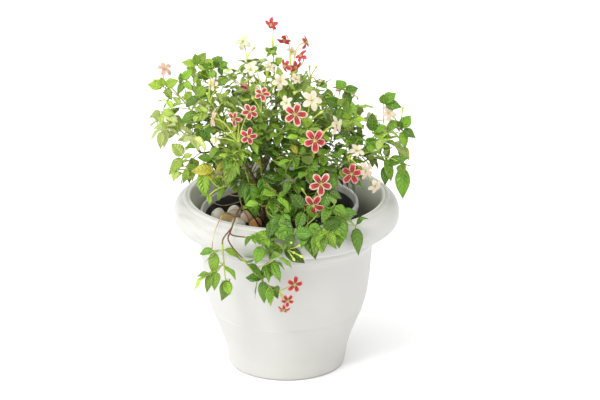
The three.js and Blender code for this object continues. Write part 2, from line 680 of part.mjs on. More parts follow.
// One flower: its slender tube from a place on the cluster's head, and the star of its five petals.
function flowerSolid(start, leaving, [x, y, z, turn, rise, open]) {
  const out = facing(turn, rise);
  const throat = new THREE.Vector3(x, y, z);
  const neck = throat.clone().addScaledVector(out, -THROAT_DEPTH);
  const curve = curveBetween(start, leaving, neck, out);
  const { points, triangles } = rodMesh(curve, TUBE_STEPS, TUBE_SIDES, TUBE_RADIUS, TUBE_RADIUS);
  triangles.splice(-3 * (TUBE_SIDES - 2)); // the end face, where the star goes on
  const collar = TUBE_STEPS * TUBE_SIDES;

  const first = UP.clone().addScaledVector(out, -UP.dot(out)).normalize();
  const second = out.clone().cross(first);
  const radial = (angle) => between(first, second, angle);
  const outline = [];
  for (let i = 0; i < PETALS; i++) {
    const angle = (2 * Math.PI * i) / PETALS + (x + z) * 0.1;
    const spoke = between(out, radial(angle), open * DEGREE);
    const sideways = out.clone().cross(radial(angle));
    const at = (length, half) =>
      throat.clone().addScaledVector(spoke, THROAT_RADIUS + length).addScaledVector(sideways, half);
    outline.push(
      throat.clone().addScaledVector(radial(angle - Math.PI / PETALS), NOTCH_RADIUS),
      at(PETAL_LENGTH * PETAL_WIDEST, -PETAL_HALF_WIDTH),
      at(PETAL_LENGTH, 0),
      at(PETAL_LENGTH * PETAL_WIDEST, PETAL_HALF_WIDTH),
    );
  }
  const count = outline.length;
  const back = points.length;
  const front = back + count;
  points.push(...outline.map((point) => point.clone().addScaledVector(out, -PETAL_THICKNESS / 2)));
  points.push(...outline.map((point) => point.clone().addScaledVector(out, PETAL_THICKNESS / 2)));
  points.push(throat.clone());
  const turnOf = (point) => {
    const arm = point.clone().sub(throat);
    return Math.atan2(arm.dot(second), arm.dot(first));
  };
  const nearest = (i) => {
    const middle = turnOf(outline[i].clone().add(outline[(i + 1) % count]).multiplyScalar(0.5));
    const apart = (j) => Math.abs(Math.sin((turnOf(points[collar + j]) - middle) / 2));
    return [...Array(TUBE_SIDES).keys()].sort((a, b) => apart(a) - apart(b))[0];
  };
  for (let i = 0; i < count; i++) {
    const next = (i + 1) % count;
    triangles.push(front + count, front + i, front + next);
    triangles.push(front + i, back + i, back + next, front + i, back + next, front + next);
    const here = collar + nearest(i);
    const there = collar + nearest(next);
    triangles.push(here, back + next, back + i);
    if (there !== here) triangles.push(here, there, back + next);
  }
  return solidFrom(points, triangles);
}

function budSolid(start, leaving, place) {
  const end = vector(place);
  const curve = curveBetween(start, leaving, end, end.clone().sub(start).normalize());
  return rod(curve, TUBE_STEPS, TUBE_SIDES, BUD_STALK_RADIUS, BUD_RADIUS);
}

// A cluster: the head that ends its shoot, and the flowers and buds that spread from places along the head.
function clusterSolid(name) {
  const { flowers, buds } = CLUSTERS[name];
  const curve = shootCurve(SHOOTS[name]);
  const heading = curve.getTangent(1);
  const start = curve.getPoint(1).addScaledVector(heading, GAP);
  const head = new THREE.LineCurve3(start, start.clone().addScaledVector(heading, HEAD_LENGTH));
  const pieces = [rod(head, 1, HEAD_SIDES, SHOOT_RADIUS, HEAD_RADIUS, heading)];
  const count = flowers.length + buds.length;
  [...flowers, ...buds].forEach((place, i) => {
    const from = head.getPoint(mix(...FLOWERS_FROM, count > 1 ? i / (count - 1) : 0.5));
    const leaving = vector(place).sub(from).normalize().add(heading).normalize();
    const make = i < flowers.length ? flowerSolid : budSolid;
    pieces.push(make(from.addScaledVector(leaving, ROOT_OFFSET), leaving, place));
  });
  return join(pieces);
}

// Assembly

const placed = []; // every solid so far, with its box and its node's name

function overlapping(a, b) {
  return [0, 1, 2].every((i) => a.min[i] < b.max[i] && b.min[i] < a.max[i]);
}

function keep(node, solid) {
  placed.push({ node, solid, box: solid.boundingBox() });
  return solid;
}

function crosses(probe, isOther) {
  const box = probe.boundingBox();
  return placed.some(
    (item) => isOther(item) && overlapping(box, item.box) && probe.intersect(item.solid).volume() > 1e-6,
  );
}

const group = new THREE.Group();

function addNode(name, solid, { colour, roughness }) {
  const mesh = new THREE.Mesh(
    geometryOf(solid),
    new THREE.MeshStandardMaterial({ color: colour, roughness, metalness: 0 }),
  );
  mesh.name = name;
  group.add(mesh);
}

const planter = keep("planter", planterSolid());
const nursery = keep("nursery_pot", leaning(nurserySolid()));
addNode("planter", planter, FINISHES.planter);
addNode("nursery_pot", nursery, FINISHES.nursery);

// Woody stems, each with its limbs and the branches of their shoots
let soil = leaning(soilSolid());
const woodPieces = new Map();
for (const [name, limb] of Object.entries(LIMBS)) {
  const curve = limbCurve(limb);
  const node = "woody_stem_" + limb.stem;
  const pieces = woodPieces.get(node) ?? [];
  pieces.push(rod(curve, LIMB_STEPS, LIMB_SIDES, limb.radius, BRANCH_RADIUS));
  for (const borne of Object.values(SHOOTS)) {
    if (borne.on !== name) continue;
    pieces.push(rod(branchCurve(borne), BRANCH_STEPS, BRANCH_SIDES, BRANCH_RADIUS, SHOOT_RADIUS));
  }
  woodPieces.set(node, pieces);
  soil = soil.subtract(rod(curve, LIMB_STEPS, LIMB_SIDES, limb.radius + GAP, BRANCH_RADIUS + GAP));
}
for (const [node, pieces] of woodPieces) addNode(node, keep(node, join(pieces)), FINISHES.bark);

PEBBLES.forEach((pebble, i) => {
  const stone = keep("pebble_" + (i + 1), pebbleSolid(pebble, i, 0));
  soil = soil.subtract(pebbleSolid(pebble, i, GAP));
  addNode("pebble_" + (i + 1), stone, { colour: pebble.colour, roughness: PEBBLE_ROUGHNESS });
});
keep("soil", soil);
addNode("soil", soil, FINISHES.soil);

// Flower clusters
for (const name of Object.keys(CLUSTERS)) {
  const cluster = keep("flower_cluster_" + name, clusterSolid(name));
  addNode("flower_cluster_" + name, cluster, FINISHES.petal);
}

// Leafy shoots: first all their green axes and twigs, then their leaves one by one where there is room
const shootPieces = new Map();
Object.entries(SHOOTS).forEach(([name, borne], number) => {
  const node = "leafy_shoot_" + name;
  const heading = branchCurve(borne).getTangent(1);
  const green = rod(shootCurve(borne), AXIS_STEPS, AXIS_SIDES, SHOOT_RADIUS, SHOOT_RADIUS, heading);
  const axis = keep(node, green);
  const twigs = twigCurves(borne, number + 1).map((twig) =>
    keep(node, rod(twig, TWIG_STEPS, TWIG_SIDES, TWIG_RADIUS, TWIG_RADIUS)),
  );
  shootPieces.set(node, [axis, ...twigs]);
});
Object.entries(SHOOTS).forEach(([name, borne], number) => {
  const node = "leafy_shoot_" + name;
  const stems = new Set(shootPieces.get(node));
  for (const slot of leafSlots(borne, number + 1)) {
    const attempt = LEAF_TRIES.findIndex((_, i) => {
      const leaf = leafAt(slot, i);
      const clear = leafSolid(leaf, STALK_START, LEAF_THICKNESS + 2 * GAP);
      const blade = leafSolid(leaf, BLADE_START, LEAF_THICKNESS);
      return (
        !crosses(clear, (item) => item.node !== node) &&
        !crosses(blade, (item) => item.node === node && !stems.has(item.solid))
      );
    });
    if (attempt < 0) continue; // there is no room for this leaf
    shootPieces.get(node).push(keep(node, leafSolid(leafAt(slot, attempt), 0, LEAF_THICKNESS)));
  }
});
for (const [node, pieces] of shootPieces) addNode(node, join(pieces), FINISHES.leaf);

export default group;
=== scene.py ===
import math
from collections import namedtuple
from types import SimpleNamespace

import bmesh
import bpy
import numpy as np
from mathutils import Matrix, Vector, noise
from mathutils.kdtree import KDTree


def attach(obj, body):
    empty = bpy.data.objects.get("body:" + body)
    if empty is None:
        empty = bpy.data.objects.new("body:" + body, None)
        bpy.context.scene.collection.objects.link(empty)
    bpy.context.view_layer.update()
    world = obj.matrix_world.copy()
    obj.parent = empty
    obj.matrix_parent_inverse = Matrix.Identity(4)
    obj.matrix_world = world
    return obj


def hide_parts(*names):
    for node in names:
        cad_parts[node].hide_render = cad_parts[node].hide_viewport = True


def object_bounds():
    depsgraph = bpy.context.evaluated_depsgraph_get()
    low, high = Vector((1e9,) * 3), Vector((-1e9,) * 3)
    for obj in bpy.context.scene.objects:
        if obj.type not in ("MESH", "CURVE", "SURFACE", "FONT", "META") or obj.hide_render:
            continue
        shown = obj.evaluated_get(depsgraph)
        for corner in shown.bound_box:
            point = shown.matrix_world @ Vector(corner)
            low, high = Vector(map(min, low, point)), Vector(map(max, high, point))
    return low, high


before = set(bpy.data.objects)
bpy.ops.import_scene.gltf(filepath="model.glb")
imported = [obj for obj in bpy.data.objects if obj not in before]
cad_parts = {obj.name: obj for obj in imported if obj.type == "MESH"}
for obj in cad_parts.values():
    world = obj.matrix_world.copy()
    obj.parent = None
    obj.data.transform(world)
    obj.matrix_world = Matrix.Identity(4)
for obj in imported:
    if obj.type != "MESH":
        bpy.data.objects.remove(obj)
cad_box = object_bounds()


# Studio: a wide white board with white walls far around it, lit by a very large soft lamp from the left,
# a soft one overhead and a small one. The camera stands 5 m off on a long lens and looks down at the
# planter a little.
CAMERA_AIM = Vector((0.0184, 0, 0.2338))
CAMERA_DISTANCE = 5
CAMERA_RISE = math.radians(20.5)
CAMERA_LENS = 220.6
CAMERA_SENSOR = 36
TOWARDS_CAMERA = Vector((0, -math.cos(CAMERA_RISE), math.sin(CAMERA_RISE)))
WALL_LIGHT = 0.76
Lamp = namedtuple("Lamp", "name light spread towards")
LAMPS = [
    Lamp("left_lamp", 1.5, math.radians(90), Vector((-0.78, -0.45, 0.5))),
    Lamp("top_lamp", 1.2, math.radians(100), Vector((0.05, -0.25, 1))),
    Lamp("small_lamp", 0.9, math.radians(10), Vector((-0.3, -0.6, 0.75))),
]
FLOOR_RADIUS = 6
FLOOR_SIDES = 96
FLOOR_DROP = 0.0002  # just under the planter's foot
FLOOR_WHITE = (0.97, 0.97, 0.97, 1)
FLOOR_GREY = (0.96, 0.96, 0.96, 1)


def placed(name, data):
    """A new object in the scene."""
    piece = bpy.data.objects.new(name, data)
    bpy.context.collection.objects.link(piece)
    return piece


def add(tree, kind, inputs=None, **settings):
    """A new shader node with its settings, and its inputs as links or as values."""
    node = tree.nodes.new(kind)
    for name, value in settings.items():
        setattr(node, name, value)
    for socket, value in (inputs or {}).items():
        if isinstance(value, bpy.types.NodeSocket):
            tree.links.new(value, node.inputs[socket])
        else:
            node.inputs[socket].default_value = value
    return node


def blended(tree, share, first, second):
    """The colour between two colours."""
    node = add(tree, "ShaderNodeMix", data_type="RGBA")
    for socket, value in ((0, share), (6, first), (7, second)):
        if isinstance(value, bpy.types.NodeSocket):
            tree.links.new(value, node.inputs[socket])
        else:
            node.inputs[socket].default_value = value
    return node.outputs[2]


def banded(tree, value, low, high, start=0.0, end=1.0):
    """A number that goes smoothly from start to end while the value goes from low to high."""
    inputs = {"Value": value, "From Min": low, "From Max": high, "To Min": start, "To Max": end}
    return add(tree, "ShaderNodeMapRange", inputs, interpolation_type="SMOOTHSTEP").outputs["Result"]


def reckoned(tree, operation, *values):
    """The result of arithmetic on sockets and numbers."""
    return add(tree, "ShaderNodeMath", dict(enumerate(values)), operation=operation).outputs[0]


def new_material(name, **inputs):
    """A material, its node tree and its shader."""
    material = bpy.data.materials.new(name)
    material.use_nodes = True
    shader = material.node_tree.nodes["Principled BSDF"]
    for socket, value in inputs.items():
        shader.inputs[socket.replace("_", " ")].default_value = value
    return material, material.node_tree, shader


def effect(name, inputs, outputs):
    """A shader node group for a shared effect, with its first and last node."""
    group = bpy.data.node_groups.new(name, "ShaderNodeTree")
    for socket, value in inputs.items():
        entry = group.interface.new_socket(socket, in_out="INPUT", socket_type="NodeSocketFloat")
        entry.default_value = value
    for socket in outputs:
        group.interface.new_socket(socket, in_out="OUTPUT", socket_type="NodeSocketFloat")
    return group, group.nodes.new("NodeGroupInput"), group.nodes.new("NodeGroupOutput")


# Mottle: soft patches, and a finer grain inside them, with a scale in patches per metre.
mottle, mottle_in, mottle_out = effect("mottle", {"Scale": 20, "Finer": 8}, ("Patches", "Grain"))
mottle_place = add(mottle, "ShaderNodeTexCoord").outputs["Object"]
mottle_patches = add(
    mottle, "ShaderNodeTexNoise", {"Vector": mottle_place, "Scale": mottle_in.outputs["Scale"], "Detail": 4}
)
mottle_fine = reckoned(mottle, "MULTIPLY", mottle_in.outputs["Scale"], mottle_in.outputs["Finer"])
mottle_grain = add(mottle, "ShaderNodeTexNoise", {"Vector": mottle_place, "Scale": mottle_fine, "Detail": 3})
mottle.links.new(mottle_patches.outputs["Fac"], mottle_out.inputs["Patches"])
mottle.links.new(mottle_grain.outputs["Fac"], mottle_out.inputs["Grain"])

camera = placed("camera", bpy.data.cameras.new("camera"))
camera.data.sensor_width = CAMERA_SENSOR
camera.data.lens = CAMERA_LENS
camera.location = CAMERA_AIM + CAMERA_DISTANCE * TOWARDS_CAMERA
camera.rotation_euler = (math.pi / 2 - CAMERA_RISE, 0, 0)
bpy.context.scene.camera = camera
bpy.context.scene.view_settings.view_transform = "Standard"

walls = bpy.data.worlds.new("white_walls")
walls.use_nodes = True
walls.node_tree.nodes["Background"].inputs["Color"].default_value = (1, 1, 1, 1)
walls.node_tree.nodes["Background"].inputs["Strength"].default_value = WALL_LIGHT
bpy.context.scene.world = walls

for facts in LAMPS:
    lamp = placed(facts.name, bpy.data.lights.new(facts.name, "SUN"))
    lamp.data.energy = facts.light
    lamp.data.angle = facts.spread
    lamp.rotation_euler = facts.towards.to_track_quat("Z", "Y").to_euler()

board, board_tree, board_shader = new_material("white_board", Roughness=0.7)
board_mottle = add(board_tree, "ShaderNodeGroup", {"Scale": 3}, node_tree=mottle)
board_colour = blended(board_tree, board_mottle.outputs["Patches"], FLOOR_WHITE, FLOOR_GREY)
board_tree.links.new(board_colour, board_shader.inputs["Base Color"])
form = bmesh.new()
bmesh.ops.create_circle(form, cap_ends=True, segments=FLOOR_SIDES, radius=FLOOR_RADIUS)
floor_mesh = bpy.data.meshes.new("floor")
form.to_mesh(floor_mesh)
form.free()
floor_mesh.materials.append(board)
floor = placed("floor", floor_mesh)
floor.location.z = -FLOOR_DROP


# Planter: a bell-shaped pot of white injection-moulded plastic, semi-gloss, with a thick rolled rim over
# a raised ring. Four drain holes go through its floor, and it stands on the board on its foot.
MM = 0.001
PLANTER_SIDES = 180
# Radius and height, in smooth runs from the middle of the foot round the rim to the middle of the floor.
PLANTER_RUNS = [
    [(0, 0), (74, 0)],
    [(74, 0), (77.6, 0.8), (79.4, 3)],
    [(79.4, 3), (81.6, 14), (84.3, 29), (91, 50), (102, 77), (103.6, 80)],
    [(103.6, 80), (104, 81.2), (103.8, 82.2)],
    [(103.8, 82.2), (110, 104), (114.6, 138), (117.3, 170)],
    [(117.3, 170), (118.6, 177), (122, 183.6), (126.2, 186.6)],
    [(126.2, 186.6), (128.8, 188.8), (130, 193), (129.4, 198)],
    [(129.4, 198), (133, 200.4), (140, 202)],
    [(140, 202), (147, 203.6), (152, 208.6), (153.8, 217), (152.6, 226), (148.6, 233.4), (142.6, 238.4)],
    [(142.6, 238.4), (140.6, 239.4), (139.4, 240.8), (137.6, 242.4)],
    [(137.6, 242.4), (134.6, 243), (131.4, 242.4), (129.4, 239.6)],
    [(129.4, 239.6), (125.4, 226), (121, 212), (117, 196), (113.8, 180), (110.6, 146), (107, 112)],
    [(107, 112), (93.6, 69.5), (80, 27), (77.6, 12), (74, 6)],
    [(74, 6), (70, 5), (0, 5)],
]
RUN_STEPS = 5
DRAIN_HOLES = 4
DRAIN_HOLE_RADIUS = 5
DRAIN_HOLE_CIRCLE = 48
DRAIN_HOLE_SIDES = 24
DRILL_REACH = 20
POT_CREASE = 40  # degrees between faces that meet in a sharp edge
PLANTER_WHITE = (0.535, 0.53, 0.505, 1)
PLANTER_SHADE = (0.47, 0.473, 0.43, 1)
PLANTER_SCUFF = (0.46, 0.45, 0.4, 1)
# Darker greenish-grey streaks, on the rim band only.
PLANTER_RIM_STREAK_GREY = (0.38, 0.39, 0.33, 1)
# Inside the planter: painted light near the top of the inner wall, paler than the outside, and painted shade
# lower down.
PLANTER_INSIDE_PAINTED_LIGHT = (0.82, 0.82, 0.75, 1)
PLANTER_INSIDE_PAINTED_SHADE = (0.38, 0.39, 0.31, 1)


def hop(before, here, there, after, share):
    """A place on the smooth line from here to there, between the points before and after them."""
    bend = 2 * before - 5 * here + 4 * there - after
    swing = 3 * here - before - 3 * there + after
    return 0.5 * (2 * here + (there - before) * share + bend * share**2 + swing * share**3)


def through(points, steps):
    """Places on a smooth line through the points given, so many steps from each to the next."""
    points = [Vector(point) for point in points]
    knots = [2 * points[0] - points[1], *points, 2 * points[-1] - points[-2]]
    line = []
    for i in range(len(points) - 1):
        line += [hop(*knots[i : i + 4], step / steps) for step in range(steps)]
    return line + [points[-1]]


def turned(outline, sides):
    """Points and faces of a solid turned from a line of radius and height with both ends on its axis."""
    points = [Vector((0, 0, outline[0][1]))]
    for radius, height in outline[1:-1]:
        for j in range(sides):
            angle = 2 * math.pi * j / sides
            points.append(Vector((radius * math.cos(angle), radius * math.sin(angle), height)))
    points.append(Vector((0, 0, outline[-1][1])))
    faces = []
    last = len(points) - 1
    for j in range(sides):
        after = (j + 1) % sides
        faces.append((0, 1 + after, 1 + j))
        for ring in range(len(outline) - 3):
            low = 1 + ring * sides
            high = low + sides
            faces.append((low + j, low + after, high + after, high + j))
        faces.append((last, last - sides + j, last - sides + after))
    return points, faces


class Shape:
    """Points in millimetres, and the faces between them, of one piece while it is being made."""

    def __init__(self):
        self.points = []
        self.faces = []
        self.places = []
        self.finishes = []
        self.marks = {}

    def add(self, points, faces, places=None, finish=0, **marks):
        """Adds a part, with each point's texture place, and marks that are one number or one for each."""
        first = len(self.points)
        self.points += points
        self.faces += [tuple(first + corner for corner in face) for face in faces]
        self.places += places or [(0.0, 0.0)] * len(points)
        self.finishes += [finish] * len(faces)
        for name, value in marks.items():
            self.marks.setdefault(name, [])
            self.marks[name] += value if isinstance(value, list) else [value] * len(points)

    def piece(self, name, *materials):
        """The finished object, smooth all over."""
        mesh = bpy.data.meshes.new(name)
        mesh.from_pydata([point * MM for point in self.points], [], self.faces)
        mesh.polygons.foreach_set("use_smooth", [True] * len(self.faces))
        mesh.polygons.foreach_set("material_index", self.finishes)
        corners = np.empty(len(mesh.loops), int)
        mesh.loops.foreach_get("vertex_index", corners)
        places = np.array(self.places, float)[corners]
        mesh.uv_layers.new(name="place").data.foreach_set("uv", places.ravel())
        for mark, values in self.marks.items():
            mesh.attributes.new(mark, "FLOAT", "POINT").data.foreach_set("value", values)
        for material in materials:
            mesh.materials.append(material)
        return placed(name, mesh)


def marked(tree, name):
    """A number that the mesh carries at its points."""
    return add(tree, "ShaderNodeAttribute", attribute_type="GEOMETRY", attribute_name=name).outputs["Fac"]


def roughened(tree, shader, relief, strength, distance):
    """Gives a finish a fine relief that only its shading shows."""
    bump = add(tree, "ShaderNodeBump", {"Height": relief, "Strength": strength, "Distance": distance})
    tree.links.new(bump.outputs["Normal"], shader.inputs["Normal"])


def drill(piece, frame_of_holes):
    """Cuts the drain holes through the floor of a pot, and makes its sharp edges sharp."""
    outline = [(0, -DRILL_REACH), (DRAIN_HOLE_RADIUS, -DRILL_REACH)]
    outline += [(DRAIN_HOLE_RADIUS, DRILL_REACH), (0, DRILL_REACH)]
    points, faces = turned(outline, DRAIN_HOLE_SIDES)
    cutter = Shape()
    for i in range(DRAIN_HOLES):
        angle = (i + 0.5) * 2 * math.pi / DRAIN_HOLES
        middle = DRAIN_HOLE_CIRCLE * Vector((math.cos(angle), math.sin(angle), 0))
        cutter.add([frame_of_holes @ (middle + point) for point in points], faces)
    drills = cutter.piece("drills")
    cut = piece.modifiers.new("drain_holes", "BOOLEAN")
    cut.operation = "DIFFERENCE"
    cut.solver = "EXACT"
    cut.object = drills
    scene_now = bpy.context.evaluated_depsgraph_get()
    drilled = bpy.data.meshes.new_from_object(piece.evaluated_get(scene_now))
    piece.modifiers.clear()
    piece.data = drilled
    drilled.set_sharp_from_angle(angle=math.radians(POT_CREASE))
    bpy.data.objects.remove(drills)


white_plastic, tree, shader = new_material("white_moulded_plastic", Specular_IOR_Level=0.45)
near = add(tree, "ShaderNodeGroup", {"Scale": 16, "Finer": 60}, node_tree=mottle)
broad = add(tree, "ShaderNodeGroup", {"Scale": 5, "Finer": 9}, node_tree=mottle)
in_object = add(tree, "ShaderNodeTexCoord").outputs["Object"]
height = add(tree, "ShaderNodeSeparateXYZ", {"Vector": in_object}).outputs["Z"]
shade_share = banded(tree, broad.outputs["Patches"], 0.45, 0.75, 0, 0.55)
smeared = blended(tree, shade_share, PLANTER_WHITE, PLANTER_SHADE)
scuff_patches = banded(tree, near.outputs["Patches"], 0.56, 0.72, 0, 0.5)
scuffs = reckoned(tree, "MULTIPLY", scuff_patches, banded(tree, height, 0.05, 0.0))
scuffed = blended(tree, scuffs, smeared, PLANTER_SCUFF)
# Long darker greenish-grey streaks, on the rim band only.
long_rim_streaks = add(tree, "ShaderNodeMapping", {"Vector": in_object})
long_rim_streaks.inputs["Scale"].default_value = (11, 11, 60)
rim_streak_settings = {"Vector": long_rim_streaks.outputs[0], "Scale": 1, "Detail": 3, "Distortion": 1.2}
rim_streak_noise = add(tree, "ShaderNodeTexNoise", rim_streak_settings).outputs["Fac"]
rim_streak_share = banded(tree, rim_streak_noise, 0.47, 0.7, 0, 0.5)
rim_streak_mask = reckoned(tree, "MULTIPLY", rim_streak_share, banded(tree, height, 0.2, 0.215))
outer_colour = blended(tree, rim_streak_mask, scuffed, PLANTER_RIM_STREAK_GREY)
# Painted light at the top of the inner wall, fading to painted shade lower down.
inner_painted_light_and_shade = blended(tree, banded(tree, height, 0.195, 0.24), PLANTER_INSIDE_PAINTED_SHADE, PLANTER_INSIDE_PAINTED_LIGHT)
tree.links.new(blended(tree, marked(tree, "inside"), outer_colour, inner_painted_light_and_shade), shader.inputs["Base Color"])
tree.links.new(banded(tree, near.outputs["Patches"], 0.3, 0.7, 0.3, 0.48), shader.inputs["Roughness"])
roughened(tree, shader, near.outputs["Grain"], 0.06, 0.0004)

planter_outline = []
for run in PLANTER_RUNS:
    planter_outline += through(run, RUN_STEPS)[1 if planter_outline else 0 :]
planter_points, planter_faces = turned(planter_outline, PLANTER_SIDES)
rim_ring = max(range(len(planter_outline)), key=lambda ring: planter_outline[ring][1])
insides = [float((i - 1) // PLANTER_SIDES >= rim_ring) for i in range(len(planter_points))]
planter_shape = Shape()
planter_shape.add(planter_points, planter_faces, inside=insides)
planter = planter_shape.piece("planter_moulded", white_plastic)
drill(planter, Matrix())
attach(planter, "root")
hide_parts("planter")


# Nursery pot: a thin tapered pot of dark grey blow-moulded plastic with a thicker rim lip, rubbed pale
# and dusty, and made paler still with a painted sheen. It is the pot the plant was grown in, let down into
# the planter, where it stands askew.
NURSERY_SIDES = 144
NURSERY_LEAN = math.radians(3.7)
NURSERY_FOOT_X = 4
NURSERY_FOOT_RADIUS = 72.5
NURSERY_WALL = 2
NURSERY_SHOULDER = 203
NURSERY_SHOULDER_RADIUS = 101.9
NURSERY_STAND = 5.3  # the planter's floor and a hair's breadth
NURSERY_LIP_FROM = 207  # the height where the pale lip begins
NURSERY_LIP_BLEND = 4
NURSERY_RUNS = [
    [(0, 0), (70, 0)],
    [(70, 0), (72, 0.6), (72.6, 2.5)],
    [(72.6, 2.5), (87.2, 102), (101.7, 201)],
    [(101.7, 201), (102.4, 203.4), (104.6, 204), (106.4, 204)],
    [(106.4, 204), (107.4, 205.6), (107.9, 210), (107.9, 215)],
    [(107.9, 215), (107.3, 217.2), (105.8, 218), (104.4, 217.8), (103.4, 216.4)],
    [(103.4, 216.4), (101.6, 209), (99.9, 201)],
    [(99.9, 201), (85, 101), (70.8, 4)],
    [(70.8, 4), (69.6, 2.2), (66, 2), (0, 2)],
]
NURSERY_DARK = (0.028, 0.026, 0.027, 1)
NURSERY_DUST = (0.15, 0.135, 0.13, 1)
# The lip's pale colour: rubbed plastic and dust, with a painted sheen on top.
NURSERY_LIP_WEAR_AND_SHEEN = (0.84, 0.82, 0.83, 1)
NURSERY_LIP_WEAR_AND_SHEEN_DARK = (0.66, 0.64, 0.66, 1)
nursery_frame = Matrix.Translation(
    (NURSERY_FOOT_X, 0, NURSERY_STAND + NURSERY_FOOT_RADIUS * math.sin(NURSERY_LEAN))
) @ Matrix.Rotation(-NURSERY_LEAN, 4, "Y")

# Settled dust: more of it on what faces up, in patches.
dust, dust_in, dust_out = effect("settled_dust", {"Scale": 40, "Amount": 0.5}, ("Dust",))
dust_normal = add(dust, "ShaderNodeNewGeometry").outputs["Normal"]
dust_upward = add(dust, "ShaderNodeSeparateXYZ", {"Vector": dust_normal})
dust_mottle = add(dust, "ShaderNodeGroup", {"Scale": dust_in.outputs["Scale"], "Finer": 6}, node_tree=mottle)
dust_patches = banded(dust, dust_mottle.outputs["Patches"], 0.38, 0.66)
dust_level = banded(dust, dust_upward.outputs["Z"], -0.1, 0.9, 0.25, 1)
dust_both = reckoned(dust, "MULTIPLY", dust_patches, dust_level)
dust_share = reckoned(dust, "MULTIPLY", dust_both, dust_in.outputs["Amount"])
dust.links.new(dust_share, dust_out.inputs["Dust"])


def clamped(value):
    """A number kept between 0 and 1."""
    return min(1, max(0, value))


grey_plastic, tree, shader = new_material("grey_moulded_plastic", Specular_IOR_Level=0.5)
near = add(tree, "ShaderNodeGroup", {"Scale": 45, "Finer": 14}, node_tree=mottle)
settled = add(tree, "ShaderNodeGroup", {"Scale": 60, "Amount": 0.8}, node_tree=dust)
wall_colour = blended(tree, settled.outputs["Dust"], NURSERY_DARK, NURSERY_DUST)
lip_patches = banded(tree, near.outputs["Patches"], 0.4, 0.62)
# The lip: rubbed pale and dusty plastic, with a painted sheen that lightens it.
lip_wear_and_sheen = blended(tree, lip_patches, NURSERY_LIP_WEAR_AND_SHEEN, NURSERY_LIP_WEAR_AND_SHEEN_DARK)
on_lip = banded(tree, marked(tree, "lip"), 0.2, 0.8)
tree.links.new(blended(tree, on_lip, wall_colour, lip_wear_and_sheen), shader.inputs["Base Color"])
tree.links.new(banded(tree, near.outputs["Patches"], 0.3, 0.7, 0.38, 0.6), shader.inputs["Roughness"])
roughened(tree, shader, near.outputs["Grain"], 0.15, 0.0005)

nursery_outline = []
for run in NURSERY_RUNS:
    nursery_outline += through(run, RUN_STEPS)[1 if nursery_outline else 0 :]
nursery_points, nursery_faces = turned(nursery_outline, NURSERY_SIDES)
lips = [clamped((point.z - NURSERY_LIP_FROM) / NURSERY_LIP_BLEND) for point in nursery_points]
nursery_shape = Shape()
nursery_shape.add([nursery_frame @ point for point in nursery_points], nursery_faces, lip=lips)
nursery_pot = nursery_shape.piece("nursery_pot_moulded", grey_plastic)
drill(nursery_pot, nursery_frame)
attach(nursery_pot, "root")
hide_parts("nursery_pot")


# Soil: dark loose potting soil with crumbs, bark and a few white grains, filled in round the roots to
# a little under the nursery pot's rim.
SOIL_TOP = 195
SOIL_SIDES = 120
SOIL_RINGS = 34
SOIL_FOOT = 2.3
SOIL_CRUMBS = 420
SOIL_GRAINS = 26
SOIL_LUMPS = [(2.4, 0.045), (1.6, 0.13), (0.9, 0.4)]  # the height and the fineness of each kind
SOIL_BROWN = (0.018, 0.011, 0.008, 1)
SOIL_PALE = (0.075, 0.045, 0.028, 1)
BARK_BROWN = (0.11, 0.055, 0.028, 1)
GRAIN_WHITE = (0.6, 0.57, 0.5, 1)


def draw(a, b, c):
    """A number from 0 to 1 that depends only on its three seeds."""
    wave = math.sin(a * 12.9898 + b * 78.233 + c * 37.719) * 43758.5453
    return wave - math.floor(wave)


def mix(low, high, share):
    """The number at a share of the way from low to high."""
    return low + (high - low) * share


def nursery_inner_radius(height):
    """The radius that the soil fills at a height in the nursery pot."""
    wall = mix(NURSERY_FOOT_RADIUS, NURSERY_SHOULDER_RADIUS, height / NURSERY_SHOULDER)
    return wall - NURSERY_WALL - 0.4


def soil_level(x, y):
    """The height of the soil's top in the nursery pot's own frame."""
    share = math.hypot(x, y) / nursery_inner_radius(SOIL_TOP)
    place = Vector((x, y, 0))
    lumps = sum(high * noise.noise(place * fine) for high, fine in SOIL_LUMPS)
    return SOIL_TOP + 2.2 - 3.2 * share**2 + lumps


def ball(detail):
    """Points and faces of a round ball of radius 1."""
    form = bmesh.new()
    bmesh.ops.create_icosphere(form, subdivisions=detail, radius=1)
    points = [vertex.co.copy() for vertex in form.verts]
    faces = [tuple(vertex.index for vertex in face.verts) for face in form.faces]
    form.free()
    return points, faces


soil_finish, tree, shader = new_material("potting_soil", Roughness=0.95, Specular_IOR_Level=0.2)
near = add(tree, "ShaderNodeGroup", {"Scale": 260, "Finer": 5}, node_tree=mottle)
damp = add(tree, "ShaderNodeGroup", {"Scale": 30, "Finer": 6}, node_tree=mottle)
crumb_share = banded(tree, near.outputs["Patches"], 0.45, 0.7)
damp_share = banded(tree, damp.outputs["Patches"], 0.35, 0.65, 0.3, 1)
both = reckoned(tree, "MULTIPLY", crumb_share, damp_share)
ground_colour = blended(tree, both, SOIL_BROWN, SOIL_PALE)
with_bark = blended(tree, marked(tree, "bark"), ground_colour, BARK_BROWN)
tree.links.new(blended(tree, marked(tree, "white"), with_bark, GRAIN_WHITE), shader.inputs["Base Color"])
roughened(tree, shader, near.outputs["Grain"], 0.7, 0.0012)

